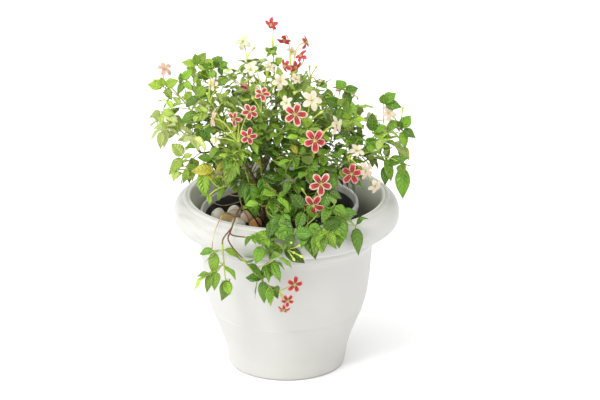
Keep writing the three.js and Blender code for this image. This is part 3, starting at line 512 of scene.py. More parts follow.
soil_shape = Shape()
soil_outline = [(0, SOIL_FOOT), (nursery_inner_radius(SOIL_FOOT), SOIL_FOOT)]
soil_outline += [
    (nursery_inner_radius(SOIL_TOP - 1) * ring / SOIL_RINGS, SOIL_TOP) for ring in range(SOIL_RINGS, -1, -1)
]
soil_points, soil_faces = turned(soil_outline, SOIL_SIDES)
for point in soil_points[1 + SOIL_SIDES :]:
    point.z = soil_level(point.x, point.y)
soil_shape.add([nursery_frame @ point for point in soil_points], soil_faces, bark=0.0, white=0.0)
lump_points, lump_faces = ball(2)
for i in range(SOIL_CRUMBS):
    reach = (nursery_inner_radius(SOIL_TOP) - 4) * math.sqrt(draw(i, 1, 31))
    turn = 2 * math.pi * draw(i, 2, 31)
    x, y = reach * math.cos(turn), reach * math.sin(turn)
    white = i < SOIL_GRAINS
    is_bark = not white and draw(i, 3, 31) < 0.3
    size = mix(0.8, 1.5, draw(i, 4, 31)) if white else mix(1, 2.6, draw(i, 4, 31) ** 2)
    stretch = Vector((2.1, 0.8, 0.5)) if is_bark else Vector((1.1, 0.9, 0.8))
    spin = Matrix.Rotation(6.3 * draw(i, 5, 31), 3, "Z") @ Matrix.Rotation(0.7 * draw(i, 6, 31), 3, "Y")
    middle = Vector((x, y, soil_level(x, y) + 0.3 * size))
    lump = []
    for point in lump_points:
        bulge = size * (1 + 0.5 * noise.noise(point * 1.7 + Vector((i, 0, 0))))
        lump.append(nursery_frame @ (middle + spin @ (point * bulge * stretch)))
    soil_shape.add(lump, lump_faces, bark=float(is_bark), white=float(white))
soil = soil_shape.piece("soil_filled", soil_finish)
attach(soil, "root")
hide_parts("soil")


# Pebbles: smooth river stones, white, cream, pink, tan and rust, laid by hand on the soil, most of them
# together on the left, where they hold it down and show.
Pebble = namedtuple("Pebble", "at half turn colour vein slot")
PEBBLES = [
    Pebble((-94.5, 15), (9, 8.5, 9.5), 20, (0.92, 0.9, 0.8), (0.8, 0.72, 0.6), "grey_pebble"),
    Pebble((-72.5, 18), (10, 9.5, 10), -15, (0.98, 0.95, 0.9), (0.93, 0.84, 0.76), "white_pebble"),
    Pebble((-80, -5), (13, 8.5, 10), 0, (0.8, 0.55, 0.28), (0.78, 0.4, 0.2), "tan_pebble"),
    Pebble((-64, -25), (10, 9, 9.5), -20, (0.97, 0.93, 0.8), (0.95, 0.72, 0.5), "cream_pebble"),
    Pebble((-51, -1), (10.5, 10, 10.5), 40, (0.9, 0.64, 0.4), (0.97, 0.88, 0.78), "rust_pebble"),
    Pebble((-31, 15), (8, 7.5, 8), 15, (0.92, 0.84, 0.74), (0.8, 0.68, 0.56), "pink_pebble"),
    Pebble((-42, -24), (8.5, 8.5, 9), -10, (0.62, 0.28, 0.08), (0.85, 0.6, 0.3), "orange_pebble"),
    Pebble((57, -38), (8, 7, 6), 0, (0.82, 0.79, 0.71), (0.55, 0.5, 0.42), "white_pebble"),
]
PEBBLE_REST = 0.8  # how high its middle lies over the soil, as a share of its half height

pebble_points, pebble_faces = ball(4)
pebble_middles = []
for index, pebble in enumerate(PEBBLES):
    name = "pebble_" + str(index + 1)
    stone, tree, shader = new_material("river_stone_" + str(index + 1), Roughness=0.5, Specular_IOR_Level=0.4)
    near = add(tree, "ShaderNodeGroup", {"Scale": 55 + 7 * index, "Finer": 9}, node_tree=mottle)
    settled = add(tree, "ShaderNodeGroup", {"Scale": 90, "Amount": 0.07}, node_tree=dust)
    vein = (*pebble.vein, 1)
    veined = blended(tree, banded(tree, near.outputs["Patches"], 0.48, 0.64), (*pebble.colour, 1), vein)
    speckled = blended(tree, banded(tree, near.outputs["Grain"], 0.6, 0.72, 0, 0.4), veined, vein)
    dusty = blended(tree, settled.outputs["Dust"], speckled, NURSERY_DUST)
    tree.links.new(dusty, shader.inputs["Base Color"])
    roughened(tree, shader, near.outputs["Grain"], 0.2, 0.0006)

    spin = Matrix.Rotation(math.radians(pebble.turn), 3, "Z")
    level = (nursery_frame @ Vector((pebble.at[0] - NURSERY_FOOT_X, pebble.at[1], SOIL_TOP))).z
    middle = Vector((*pebble.at, level + pebble.half[2] * PEBBLE_REST))
    pebble_middles.append(middle)
    stone_points = []
    for point in pebble_points:
        lump = 1 + 0.1 * math.sin(2.3 * point.x + index) + 0.08 * math.cos(2.9 * point.y - 1.7 * index)
        lump += 0.04 * noise.noise(point * 2.2 + Vector((index, 0, 0)))
        stone_points.append(middle + spin @ (point * lump * Vector(pebble.half)))
    stone_shape = Shape()
    stone_shape.add(stone_points, pebble_faces)
    piece = stone_shape.piece(name + "_worn", stone)
    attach(piece, "root")
    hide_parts(name)


# Woody stems: brown ropy stems 5 mm thick, which are rooted in the soil, lean outwards and branch, with
# bare dead twigs left on them. A thinner one trails over the planter's rim.
STEM_RADIUS = 2.6
VINE_RADIUS = 1.1  # of the stem that trails over the rim
Limb = namedtuple("Limb", "stem radius foot bend top")
LIMBS = {
    "left": Limb("left", STEM_RADIUS, (-26, -4), (-54, 6, 262), (-92, 4, 300)),
    "left_front": Limb("left", STEM_RADIUS, (-26, -4), (-36, -36, 258), (-50, -60, 302)),
    "middle": Limb("middle", STEM_RADIUS, (-4, -4), (-12, 6, 270), (-12, 8, 340)),
    "front": Limb("middle", STEM_RADIUS, (-4, -4), (12, -34, 255), (26, -58, 290)),
    "right": Limb("right", STEM_RADIUS, (15, 0), (42, -8, 258), (84, -12, 290)),
    "back_left": Limb("back", STEM_RADIUS, (-6, 18), (-30, 42, 262), (-46, 74, 320)),
    "back_right": Limb("back", STEM_RADIUS, (-6, 18), (20, 42, 262), (44, 78, 312)),
    "trailing": Limb("trailing", VINE_RADIUS, (-22, -40), (-57, -92, 258), (-76, -154, 241)),
}
# A shoot: its limb and how far along it the branch leaves, where its green part begins and ends, how high
# it arches, its leaf length, pairs of leaves, side twigs, further thin twigs that fill it out, and how
# young its leaves are.
Shoot = namedtuple("Shoot", "on leaves_at start tip arch leaf pairs twigs fill youth")
SHOOTS = {
    "left_high": Shoot("left", 1, (-112, 8, 330), (-162, 15, 396), 8, 29, 3, 1, 12, 0.5),
    "left_top": Shoot("left", 0.7, (-84, 18, 348), (-112, 22, 422), 4, 26, 3, 0, 16, 0.45),
    "left_pale": Shoot("left", 0.5, (-80, -14, 330), (-100, -28, 382), 4, 28, 2, 1, 12, 0.62),
    "left_far": Shoot("left", 1, (-118, -6, 306), (-176, -12, 352), 14, 30, 3, 0, 8, 0.9),
    "left_low": Shoot("left", 0.6, (-96, -28, 268), (-150, -44, 292), 12, 36, 3, 0, 0, 0.65),
    "left_mid": Shoot("left_front", 1, (-58, -66, 312), (-63, -75, 337), 0, 27, 1, 1, 10, 0.4),
    "left_skirt": Shoot("left_front", 0.6, (-60, -62, 272), (-104, -84, 270), 16, 37, 3, 0, 0, 0.3),
    "rose": Shoot("left_front", 0.9, (-38, -50, 320), (-34, -48, 370), 0, 29, 3, 0, 15, 0.3),
    "top": Shoot("middle", 1, (-14, 6, 368), (-18, 5, 452), 0, 18, 4, 0, 5, 0.55),
    "crown": Shoot("middle", 0.8, (2, 0, 352), (7, -2, 406), 0, 28, 3, 1, 18, 0.6),
    "white": Shoot("middle", 0.7, (-24, -4, 335), (-29, -8, 374), 0, 29, 2, 0, 18, 0.58),
    "center": Shoot("front", 0.9, (22, -48, 318), (26, -62, 358), 0, 30, 3, 1, 18, 0.33),
    "big": Shoot("front", 1, (32, -68, 300), (35, -80, 322), 0, 32, 1, 1, 10, 0.2),
    "low": Shoot("front", 0.6, (20, -62, 262), (31, -95, 269), 5, 35, 2, 1, 8, 0.15),
    "apron": Shoot("front", 0.4, (-6, -62, 262), (-26, -108, 262), 18, 40, 3, 0, 9, 0.15),
    "right_low": Shoot("right", 0.9, (78, -36, 298), (82, -58, 316), 2, 31, 2, 1, 10, 0.3),
    "right_drop": Shoot("right", 1, (104, -20, 296), (156, -32, 296), 16, 42, 3, 0, 0, 0.2),
    "right_far": Shoot("right", 0.9, (106, 4, 308), (146, 14, 338), 8, 30, 3, 1, 8, 0.6),
    "right_high": Shoot("right", 0.5, (56, -6, 330), (84, -4, 388), 4, 31, 3, 1, 16, 0.48),
    "spire": Shoot("back_right", 0.7, (30, 36, 340), (32, 22, 396), 0, 28, 3, 1, 14, 0.58),
    "haze": Shoot("back_left", 1, (-50, 62, 352), (-53, 58, 412), 0, 28, 3, 1, 14, 0.6),
    "back_left": Shoot("back_left", 0.7, (-62, 86, 300), (-84, 122, 322), 12, 34, 3, 1, 8, 0.35),
    "back_right": Shoot("back_right", 1, (52, 96, 312), (66, 128, 326), 10, 34, 3, 1, 8, 0.35),
    "trailing_left": Shoot("trailing", 0.86, (-84, -160, 232), (-80, -158, 176), -4, 30, 3, 0, 1, 0.32),
    "trailing_right": Shoot("trailing", 1, (-58, -165, 214), (-15, -158, 166), -6, 31, 3, 0, 2, 0.22),
    "rim_middle": Shoot("trailing", 0.93, (-42, -162, 240), (-4, -164, 229), 4, 24, 3, 0, 4, 0.4),
    "rim_right": Shoot("front", 0.5, (40, -104, 264), (62, -156, 245), 8, 36, 3, 2, 5, 0.25),
}
UP = Vector((0, 0, 1))
STEM_DEPTH = 14  # of a stem's end under the soil
BRANCH_RADIUS = 1.5
VINE_BRANCH_RADIUS = 0.85
SHOOT_RADIUS = 1.1
LIMB_STEPS = 44
BRANCH_STEPS = 20
STEM_SIDES = 12
DEAD_TWIGS = 4  # on each limb
DEAD_TWIG_LOWEST = 250  # the least height at which one ends
DEAD_TWIG_STEPS = 12
DEAD_TWIG_SIDES = 6
HAIR = 0.3  # between pieces that touch
BARK_DARK = (0.075, 0.04, 0.022, 1)
BARK_LIGHT = (0.26, 0.16, 0.085, 1)
BARK_GREEN = (0.24, 0.24, 0.07, 1)
VINE_RED = (0.13, 0.035, 0.022, 1)


def limb_curve(limb):
    """A limb as a function of the share along it, from its foot in the soil."""
    soil_point = nursery_frame @ Vector((limb.foot[0] - NURSERY_FOOT_X, limb.foot[1], SOIL_TOP - STEM_DEPTH))
    foot = Vector((*limb.foot, soil_point.z))
    bend = Vector(limb.bend)
    top = Vector(limb.top)
    knots = [2 * foot - bend, foot, bend, top, 2 * top - bend]

    def at(share):
        span = min(1, int(share * 2))
        return hop(*knots[span : span + 4], share * 2 - span)

    return at


def curve_between(start, leaving, end, arriving):
    """A smooth curve between two points that leaves and arrives in the directions given."""
    reach = (end - start).length * 0.36
    first = start + leaving * reach
    second = end - arriving * reach

    def at(share):
        rest = 1 - share
        near_start = start * rest**3 + first * (3 * rest**2 * share)
        return near_start + second * (3 * rest * share**2) + end * share**3

    return at


def heading_of(curve, share):
    """The direction of a curve at a share along it."""
    return (curve(min(1, share + 1e-4)) - curve(max(0, share - 1e-4))).normalized()


def places_along(curve, steps):
    """Places on a curve from its start to its end, with so many steps between them."""
    return [curve(step / steps) for step in range(steps + 1)]


def branch_curve(shoot):
    """The woody branch that carries a shoot: from its limb to where the green part begins."""
    limb = limb_curve(LIMBS[shoot.on])
    end = Vector(shoot.start)
    arriving = (Vector(shoot.tip) - end).normalized()
    return curve_between(limb(shoot.leaves_at), heading_of(limb, shoot.leaves_at), end, arriving)


def tube(curve, steps, sides, radius_at):
    """Points and faces of a closed round rod along a curve, and how far along it each point is."""
    points = []
    shares = []
    across = Vector((1, 0.2, 0.1))
    for i in range(steps + 1):
        share = i / steps
        along = heading_of(curve, share)
        across = (across - across.dot(along) * along).normalized()
        third = along.cross(across)
        radius = radius_at(share)
        for j in range(sides):
            angle = 2 * math.pi * j / sides
            points.append(curve(share) + radius * (math.cos(angle) * across + math.sin(angle) * third))
            shares.append(share)
    faces = [tuple(reversed(range(sides))), tuple(range(steps * sides, (steps + 1) * sides))]
    for i in range(steps):
        for j in range(sides):
            a = i * sides + j
            b = i * sides + (j + 1) % sides
            faces.append((a, b, b + sides, a + sides))
    return points, faces, shares


def knotted(start, end, seed, knots=5, swell=0.12):
    """The radius of a stem that narrows, with an uneven surface and a swelling at each knot."""

    def radius(share):
        knot = max(0, math.cos(2 * math.pi * share * knots)) ** 12
        return mix(start, end, share) * (1 + swell * knot + 0.1 * noise.noise(Vector((share * 22, seed, 0))))

    return radius


bark, tree, shader = new_material("bark", Specular_IOR_Level=0.25)
ridged = add(tree, "ShaderNodeMapping", {"Vector": add(tree, "ShaderNodeTexCoord").outputs["Object"]})
ridged.inputs["Scale"].default_value = (420, 420, 90)
ridge_noise = {"Vector": ridged.outputs[0], "Scale": 1, "Detail": 4}
ridges = add(tree, "ShaderNodeTexNoise", ridge_noise).outputs["Fac"]
near = add(tree, "ShaderNodeGroup", {"Scale": 60, "Finer": 8}, node_tree=mottle)
brown = blended(tree, banded(tree, ridges, 0.36, 0.66), BARK_DARK, BARK_LIGHT)
reddish = blended(tree, marked(tree, "red"), brown, VINE_RED)
green_patches = banded(tree, near.outputs["Patches"], 0.3, 0.6, 0.5, 1)
patchy = reckoned(tree, "MULTIPLY", marked(tree, "green"), green_patches)
tree.links.new(blended(tree, patchy, reddish, BARK_GREEN), shader.inputs["Base Color"])
tree.links.new(banded(tree, ridges, 0.3, 0.7, 0.62, 0.85), shader.inputs["Roughness"])
roughened(tree, shader, ridges, 0.6, 0.0008)

stem_shapes = {limb.stem: Shape() for limb in LIMBS.values()}
rod_points = []  # places along every stem, which leaves keep clear of
for number, (name, limb) in enumerate(LIMBS.items()):
    curve = limb_curve(limb)
    shape = stem_shapes[limb.stem]
    red = 0.8 if name == "trailing" else 0.0
    radius = knotted(limb.radius, min(limb.radius, BRANCH_RADIUS), number)
    points, faces, shares = tube(curve, LIMB_STEPS, STEM_SIDES, radius)
    shape.add(points, faces, red=red, green=[0.25 * share**2 for share in shares])
    rod_points += places_along(curve, 60)
    for i in range(DEAD_TWIGS):
        place = mix(0.42, 0.9, (i + draw(number, i, 41)) / DEAD_TWIGS)
        along = heading_of(curve, place)
        turn = 2 * math.pi * draw(number, i, 42)
        out = (Vector((math.cos(turn), math.sin(turn), 0.25)) + 0.5 * along).normalized()
        start = curve(place)
        end = start + out * mix(16, 34, draw(number, i, 43)) + UP * mix(-2, 16, draw(number, i, 44))
        if name == "trailing" or end.z < DEAD_TWIG_LOWEST:
            continue
        twig = curve_between(start, out, end, (out + 0.8 * UP).normalized())
        radius = knotted(0.85, 0.4, number + 0.1 * i, 3, 0.3)
        points, faces, shares = tube(twig, DEAD_TWIG_STEPS, DEAD_TWIG_SIDES, radius)
        shape.add(points, faces, red=red, green=0.0)
        rod_points += places_along(twig, 10)
for number, shoot in enumerate(SHOOTS.values()):
    curve = branch_curve(shoot)
    is_vine = shoot.on == "trailing"
    red = 0.9 if is_vine else 0.0
    radius = knotted(VINE_BRANCH_RADIUS if is_vine else BRANCH_RADIUS, SHOOT_RADIUS, number + 20, 4)
    points, faces, shares = tube(curve, BRANCH_STEPS, STEM_SIDES, radius)
    green = [0.85 * max(0, share - 0.25) for share in shares]
    stem_shapes[LIMBS[shoot.on].stem].add(points, faces, red=red, green=green)
    rod_points += places_along(curve, 24)
for name, shape in stem_shapes.items():
    piece = shape.piece("stem_" + name, bark)
    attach(piece, "root")
    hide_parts("woody_stem_" + name)


# Flower clusters: each ends a shoot with a few star flowers on long slender green tubes, five petals to
# a star, white when they open, then pink, then deep red, and with green buds. They grow from the tip of
# their shoot.
Cluster = namedtuple("Cluster", "flowers buds")
# A flower is its throat's place, its turn and rise in degrees, how wide it opens, its age and its size.
# A bud is its tip.
CLUSTERS = {
    "top": Cluster([(-19, 3, 484, -30, -5, 84, 1, 0.66)], []),
    "crown": Cluster(
        [
            (-2, 0, 465, -20, -42, 60, 1, 0.8), (26, -3, 460, 75, 10, 86, 0.9, 0.78),
            (21, -10, 442, -60, 45, 74, 1, 0.68), (11, -20, 432, 40, -15, 76, 1, 0.68),
            (0, -24, 434, -50, 0, 74, 0.95, 0.68), (7, 12, 441, 40, 40, 60, 0.1, 0.6),
            (12, -30, 417, 25, 30, 62, 0.15, 0.58),
        ],
        [],
    ),
    "haze": Cluster([(-59, 60, 441, -12, 22, 88, 0, 0.86)], [(-42, 66, 432)]),
    "white": Cluster(
        [
            (-47, -10, 423, -25, 55, 60, 0.03, 0.86), (-23, -6, 425, 10, 50, 56, 0.05, 0.64),
            (-8, -36, 416, 0, 25, 72, 0.13, 0.82), (-54, -27, 411, -30, -50, 45, 0.8, 0.8),
            (-45, 14, 424, -80, 62, 70, 0.05, 0.62),
        ],
        [(-25, 2, 428)],
    ),
    "rose": Cluster([(-32, -56, 404, 5, 50, 72, 0.66, 0.82)], [(-46, -54, 402)]),
    "left_mid": Cluster(
        [
            (-48, -88, 391, 15, 22, 82, 0.66, 0.82), (-68, -80, 379, -42, 2, 82, 0.62, 0.78),
            (-50, -100, 361, 10, 8, 88, 0.78, 0.82), (-96, -74, 377, -75, 10, 80, 0.36, 0.88),
            (-92, -86, 352, -60, -5, 75, 0.06, 0.8),
        ],
        [(-80, -98, 366)],
    ),
    "center": Cluster(
        [
            (12, -86, 387, -5, 18, 88, 0.68, 1.1), (34, -70, 401, 20, 36, 82, 0.13, 1.02),
            (1, -62, 394, -30, 35, 62, 0.06, 0.72),
        ],
        [(50, -72, 388)],
    ),
    "big": Cluster([(38, -108, 358, 5, 12, 90, 0.82, 1.14), (66, -90, 373, 62, 12, 84, 0.12, 0.92)], []),
    "low": Cluster(
        [(46, -114, 299, 10, 20, 86, 0.6, 1.1), (36, -122, 272, -5, -4, 88, 0.78, 1.04)], [(20, -108, 292)]
    ),
    "right_low": Cluster(
        [
            (87, -80, 301, 5, 10, 90, 0.84, 1.04), (106, -64, 299, 40, 5, 84, 0.2, 0.9),
            (119, -56, 275, 30, -10, 80, 0.12, 0.8), (94, -54, 324, 20, 45, 68, 0.1, 0.76),
        ],
        [],
    ),
    "right_far": Cluster(
        [(138, 6, 357, 20, 25, 76, 0.2, 0.74), (115, 20, 342, -30, 30, 62, 0.06, 0.78)], [(158, 16, 364)]
    ),
    "left_high": Cluster([(-164, 18, 416, 25, 45, 86, 0.34, 0.8)], [(-180, 6, 404)]),
    "left_pale": Cluster([(-95, -32, 410, -60, 20, 60, 0.25, 0.74)], [(-102, -30, 416), (-106, -40, 402)]),
    "spire": Cluster([(46, 60, 384, 160, 62, 80, 0.12, 0.62)], [(31, 12, 424), (42, 22, 420)]),
    "back_right": Cluster(
        [(74, 152, 340, 165, 55, 86, 0.7, 0.85), (92, 132, 338, 130, 60, 82, 0.12, 0.75)], []
    ),
    "trailing_right": Cluster(
        [
            (11, -162, 175, 15, 10, 86, 0.82, 0.84), (2, -166, 154, 5, -5, 88, 0.8, 0.7),
            (-3, -160, 139, -15, -35, 84, 0.84, 0.66),
        ],
        [],
    ),
    "rim_middle": Cluster(
        [], [(24, -170, 216), (12, -172, 212), (22, -164, 232), (8, -168, 238), (12, -174, 224)]
    ),
}
PETALS = 5
PETAL_LENGTH = 13
PETAL_HALF_WIDTH = 4.4
PETAL_CLAW = 1.5  # its half width in the throat
PETAL_WIDEST = 0.6
PETAL_THICKNESS = 0.35
PETAL_ROWS = [0, 0.1, 0.22, 0.34, 0.46, 0.58, 0.7, 0.8, 0.88, 0.94, 0.98, 1]
PETAL_COLUMNS = [-1, -0.7, -0.35, 0, 0.35, 0.7, 1]
THROAT_RADIUS = 1.5
HEAD_LENGTH = 6
HEAD_RADIUS = 1.9
HEAD_STEPS = 8
HEAD_SIDES = 10
TUBE_SIDES = 8
TUBE_STEPS = 16
SEPALS = 5
STAMENS = 5
SEPAL_ROWS = [0, 0.5, 1]
SEPAL_COLUMNS = [-1, 0, 1]
SEPAL_THICKNESS = 0.3
FILAMENT_STEPS = 3
FILAMENT_SIDES = 5
FILAMENT_RADIUS = 0.22
ANTHER_RADIUS = 0.48
BUD_STEPS = 26
BLOOM_SIGHT = 13
BUD_SIGHT = 3
PEBBLE_SIGHT = 9
PEBBLES_IN_SIGHT = 7
PETAL_WHITE = (0.65, 0.64, 0.47, 1)
PETAL_CREAM = (0.72, 0.58, 0.46, 1)
PETAL_BLUSH = (0.68, 0.48, 0.4, 1)
PETAL_HEART = (0.21, 0.004, 0.01, 1)
# How much of the dark heart a petal has, from the day it opens to its last.
HEART_WITH_AGE = [(0, 0), (0.4, 0), (0.6, 1), (0.85, 1), (1, 0.2)]
PETAL_ROSE = (0.5, 0.06, 0.055, 1)
PETAL_RED = (0.44, 0.028, 0.03, 1)
PETAL_DEEP = (0.48, 0.045, 0.062, 1)
EDGE_PINK = (0.66, 0.3, 0.25, 1)
EDGE_RED = (0.5, 0.06, 0.085, 1)
THROAT_GREEN = (0.62, 0.66, 0.16, 1)
STALK_GREEN = (0.5, 0.6, 0.09, 1)
STALK_PALE = (0.66, 0.74, 0.16, 1)
STALK_FLUSH = (0.62, 0.3, 0.16, 1)
ANTHER_YELLOW = (0.8, 0.62, 0.12, 1)
ANTHER_PALE = (0.85, 0.8, 0.5, 1)


def shoot_curve(shoot):
    """The green axis of a shoot, which carries on from its branch."""
    heading = heading_of(branch_curve(shoot), 1)
    start = Vector(shoot.start) + heading * HAIR
    end = Vector(shoot.tip)
    chord = end - start
    leaving = (chord + 3 * shoot.arch * UP).normalized()
    arriving = (chord - 3 * shoot.arch * UP).normalized()
    return curve_between(start, leaving, end, arriving)


def blade(point_at, rows, columns, thickness_at):
    """Points, faces and texture places of a closed thin blade with a tip, and which points are under it."""
    points = []
    places = []
    under = []
    width = len(columns)
    tip = (len(rows) - 1) * width
    for side in (1, -1):
        for row in rows[:-1]:
            lift = side * thickness_at(row) / 2
            points += [point_at(row, column, lift) for column in columns]
            places += [(0.5 + 0.5 * column, row) for column in columns]
        points.append(point_at(rows[-1], 0, side * thickness_at(rows[-1]) / 2))
        places.append((0.5, rows[-1]))
        under += [0.0 if side > 0 else 1.0] * (tip + 1)
    sheet = tip + 1
    faces = []
    for i in range(len(rows) - 2):
        for j in range(width - 1):
            a = i * width + j
            faces.append((a, a + width, a + width + 1, a + 1))
            faces.append((sheet + a, sheet + a + 1, sheet + a + width + 1, sheet + a + width))
    for j in range(width - 1):
        a = tip - width + j
        faces.append((a, tip, a + 1))
        faces.append((sheet + a, sheet + a + 1, sheet + tip))
        faces.append((j, j + 1, sheet + j + 1, sheet + j))
    left_edge = [i * width for i in range(len(rows) - 1)] + [tip]
    right_edge = [i * width + width - 1 for i in range(len(rows) - 1)] + [tip]
    for edge, turns in ((left_edge, False), (right_edge, True)):
        for low, high in zip(edge, edge[1:]):
            face = (low, sheet + low, sheet + high, high)
            faces.append(tuple(reversed(face)) if turns else face)
    return points, faces, places, under


def ramped(tree, value, stops):
    """A colour that goes through the stops, each a place and a colour."""
    node = add(tree, "ShaderNodeValToRGB", {"Fac": value})
    band = node.color_ramp
    for place, _ in stops[1:-1]:
        band.elements.new(place)
    for element, (place, colour) in zip(band.elements, stops):
        element.position = place
        element.color = colour
    return node.outputs["Color"]


petal_finish, tree, shader = new_material("petal", Roughness=0.5, Specular_IOR_Level=0.3)
age = marked(tree, "age")
on_petal = add(tree, "ShaderNodeUVMap", uv_map="place").outputs["UV"]
place = add(tree, "ShaderNodeSeparateXYZ", {"Vector": on_petal})
from_middle = reckoned(tree, "ABSOLUTE", reckoned(tree, "SUBTRACT", place.outputs["X"], 0.5))
centre_colour = ramped(
    tree,
    age,
    [(0, PETAL_WHITE), (0.28, PETAL_BLUSH), (0.5, PETAL_ROSE), (0.75, PETAL_RED), (1, PETAL_DEEP)],
)
edge_colour = ramped(
    tree,
    age,
    [(0, PETAL_WHITE), (0.45, PETAL_CREAM), (0.7, PETAL_CREAM), (0.9, EDGE_PINK), (1, EDGE_RED)],
)
streaks = add(tree, "ShaderNodeMapping", {"Vector": on_petal})
streaks.inputs["Scale"].default_value = (26, 2.2, 1)
streak_noise = {"Vector": streaks.outputs[0], "Scale": 1, "Detail": 2}
streak = add(tree, "ShaderNodeTexNoise", streak_noise).outputs["Fac"]
ragged = reckoned(tree, "MULTIPLY_ADD", streak, 0.12, from_middle)
centre_across = banded(tree, ragged, 0.34, 0.49, 1, 0)
centre_end = banded(tree, place.outputs["Y"], 0.76, 0.95, 1, 0)
centre = reckoned(tree, "MULTIPLY", centre_across, centre_end)
deep_with_age = ramped(tree, age, [(day, (share, share, share, 1)) for day, share in HEART_WITH_AGE])
deepening = reckoned(tree, "MULTIPLY", banded(tree, place.outputs["Y"], 0.2, 0.85, 1, 0), deep_with_age)
deepened = blended(tree, deepening, centre_colour, PETAL_HEART)
face_colour = blended(tree, centre, edge_colour, deepened)
back_colour = blended(tree, 0.3, face_colour, PETAL_BLUSH)
sided = blended(tree, marked(tree, "under"), face_colour, back_colour)
midrib_across = banded(tree, from_middle, 0.02, 0.05, 1, 0)
midrib_along = banded(tree, place.outputs["Y"], 0.15, 0.5, 0.8, 0)
midrib = reckoned(tree, "MULTIPLY", midrib_across, midrib_along)
claw = reckoned(tree, "MAXIMUM", banded(tree, place.outputs["Y"], 0.03, 0.1, 1, 0), midrib)
claw_share = reckoned(tree, "MULTIPLY", claw, 0.85)
tree.links.new(blended(tree, claw_share, sided, THROAT_GREEN), shader.inputs["Base Color"])
roughened(tree, shader, streak, 0.35, 0.0005)

stalk_finish, tree, shader = new_material("flower_tube", Roughness=0.5, Specular_IOR_Level=0.3)
near = add(tree, "ShaderNodeGroup", {"Scale": 150, "Finer": 6}, node_tree=mottle)
green_part = blended(tree, banded(tree, near.outputs["Patches"], 0.35, 0.65), STALK_GREEN, STALK_PALE)
flush = banded(tree, marked(tree, "age"), 0.5, 1, 0, 0.6)
flushed = reckoned(tree, "MULTIPLY", flush, marked(tree, "under"))
tree.links.new(blended(tree, flushed, green_part, STALK_FLUSH), shader.inputs["Base Color"])
roughened(tree, shader, near.outputs["Grain"], 0.2, 0.0003)

anther_finish, tree, shader = new_material("anther", Roughness=0.8, Specular_IOR_Level=0.2)
near = add(tree, "ShaderNodeGroup", {"Scale": 900, "Finer": 4}, node_tree=mottle)
anther_colour = blended(tree, near.outputs["Patches"], ANTHER_YELLOW, ANTHER_PALE)
tree.links.new(anther_colour, shader.inputs["Base Color"])
roughened(tree, shader, near.outputs["Grain"], 0.5, 0.0002)


def facing(turn, rise):
    """The direction for a turn from the front to the right, and a rise, in degrees."""
    turn, rise = math.radians(turn), math.radians(rise)
    return Vector((math.cos(rise) * math.sin(turn), -math.cos(rise) * math.cos(turn), math.sin(rise)))


def petal_half(share):
    """A petal's half width along it: narrow in the throat, widest past the middle, and bluntly pointed."""
    if share < PETAL_WIDEST:
        return mix(PETAL_CLAW, PETAL_HALF_WIDTH, math.sin(math.pi / 2 * share / PETAL_WIDEST))
    return PETAL_HALF_WIDTH * max(0, 1 - ((share - PETAL_WIDEST) / (1 - PETAL_WIDEST)) ** 2.2) ** 0.66


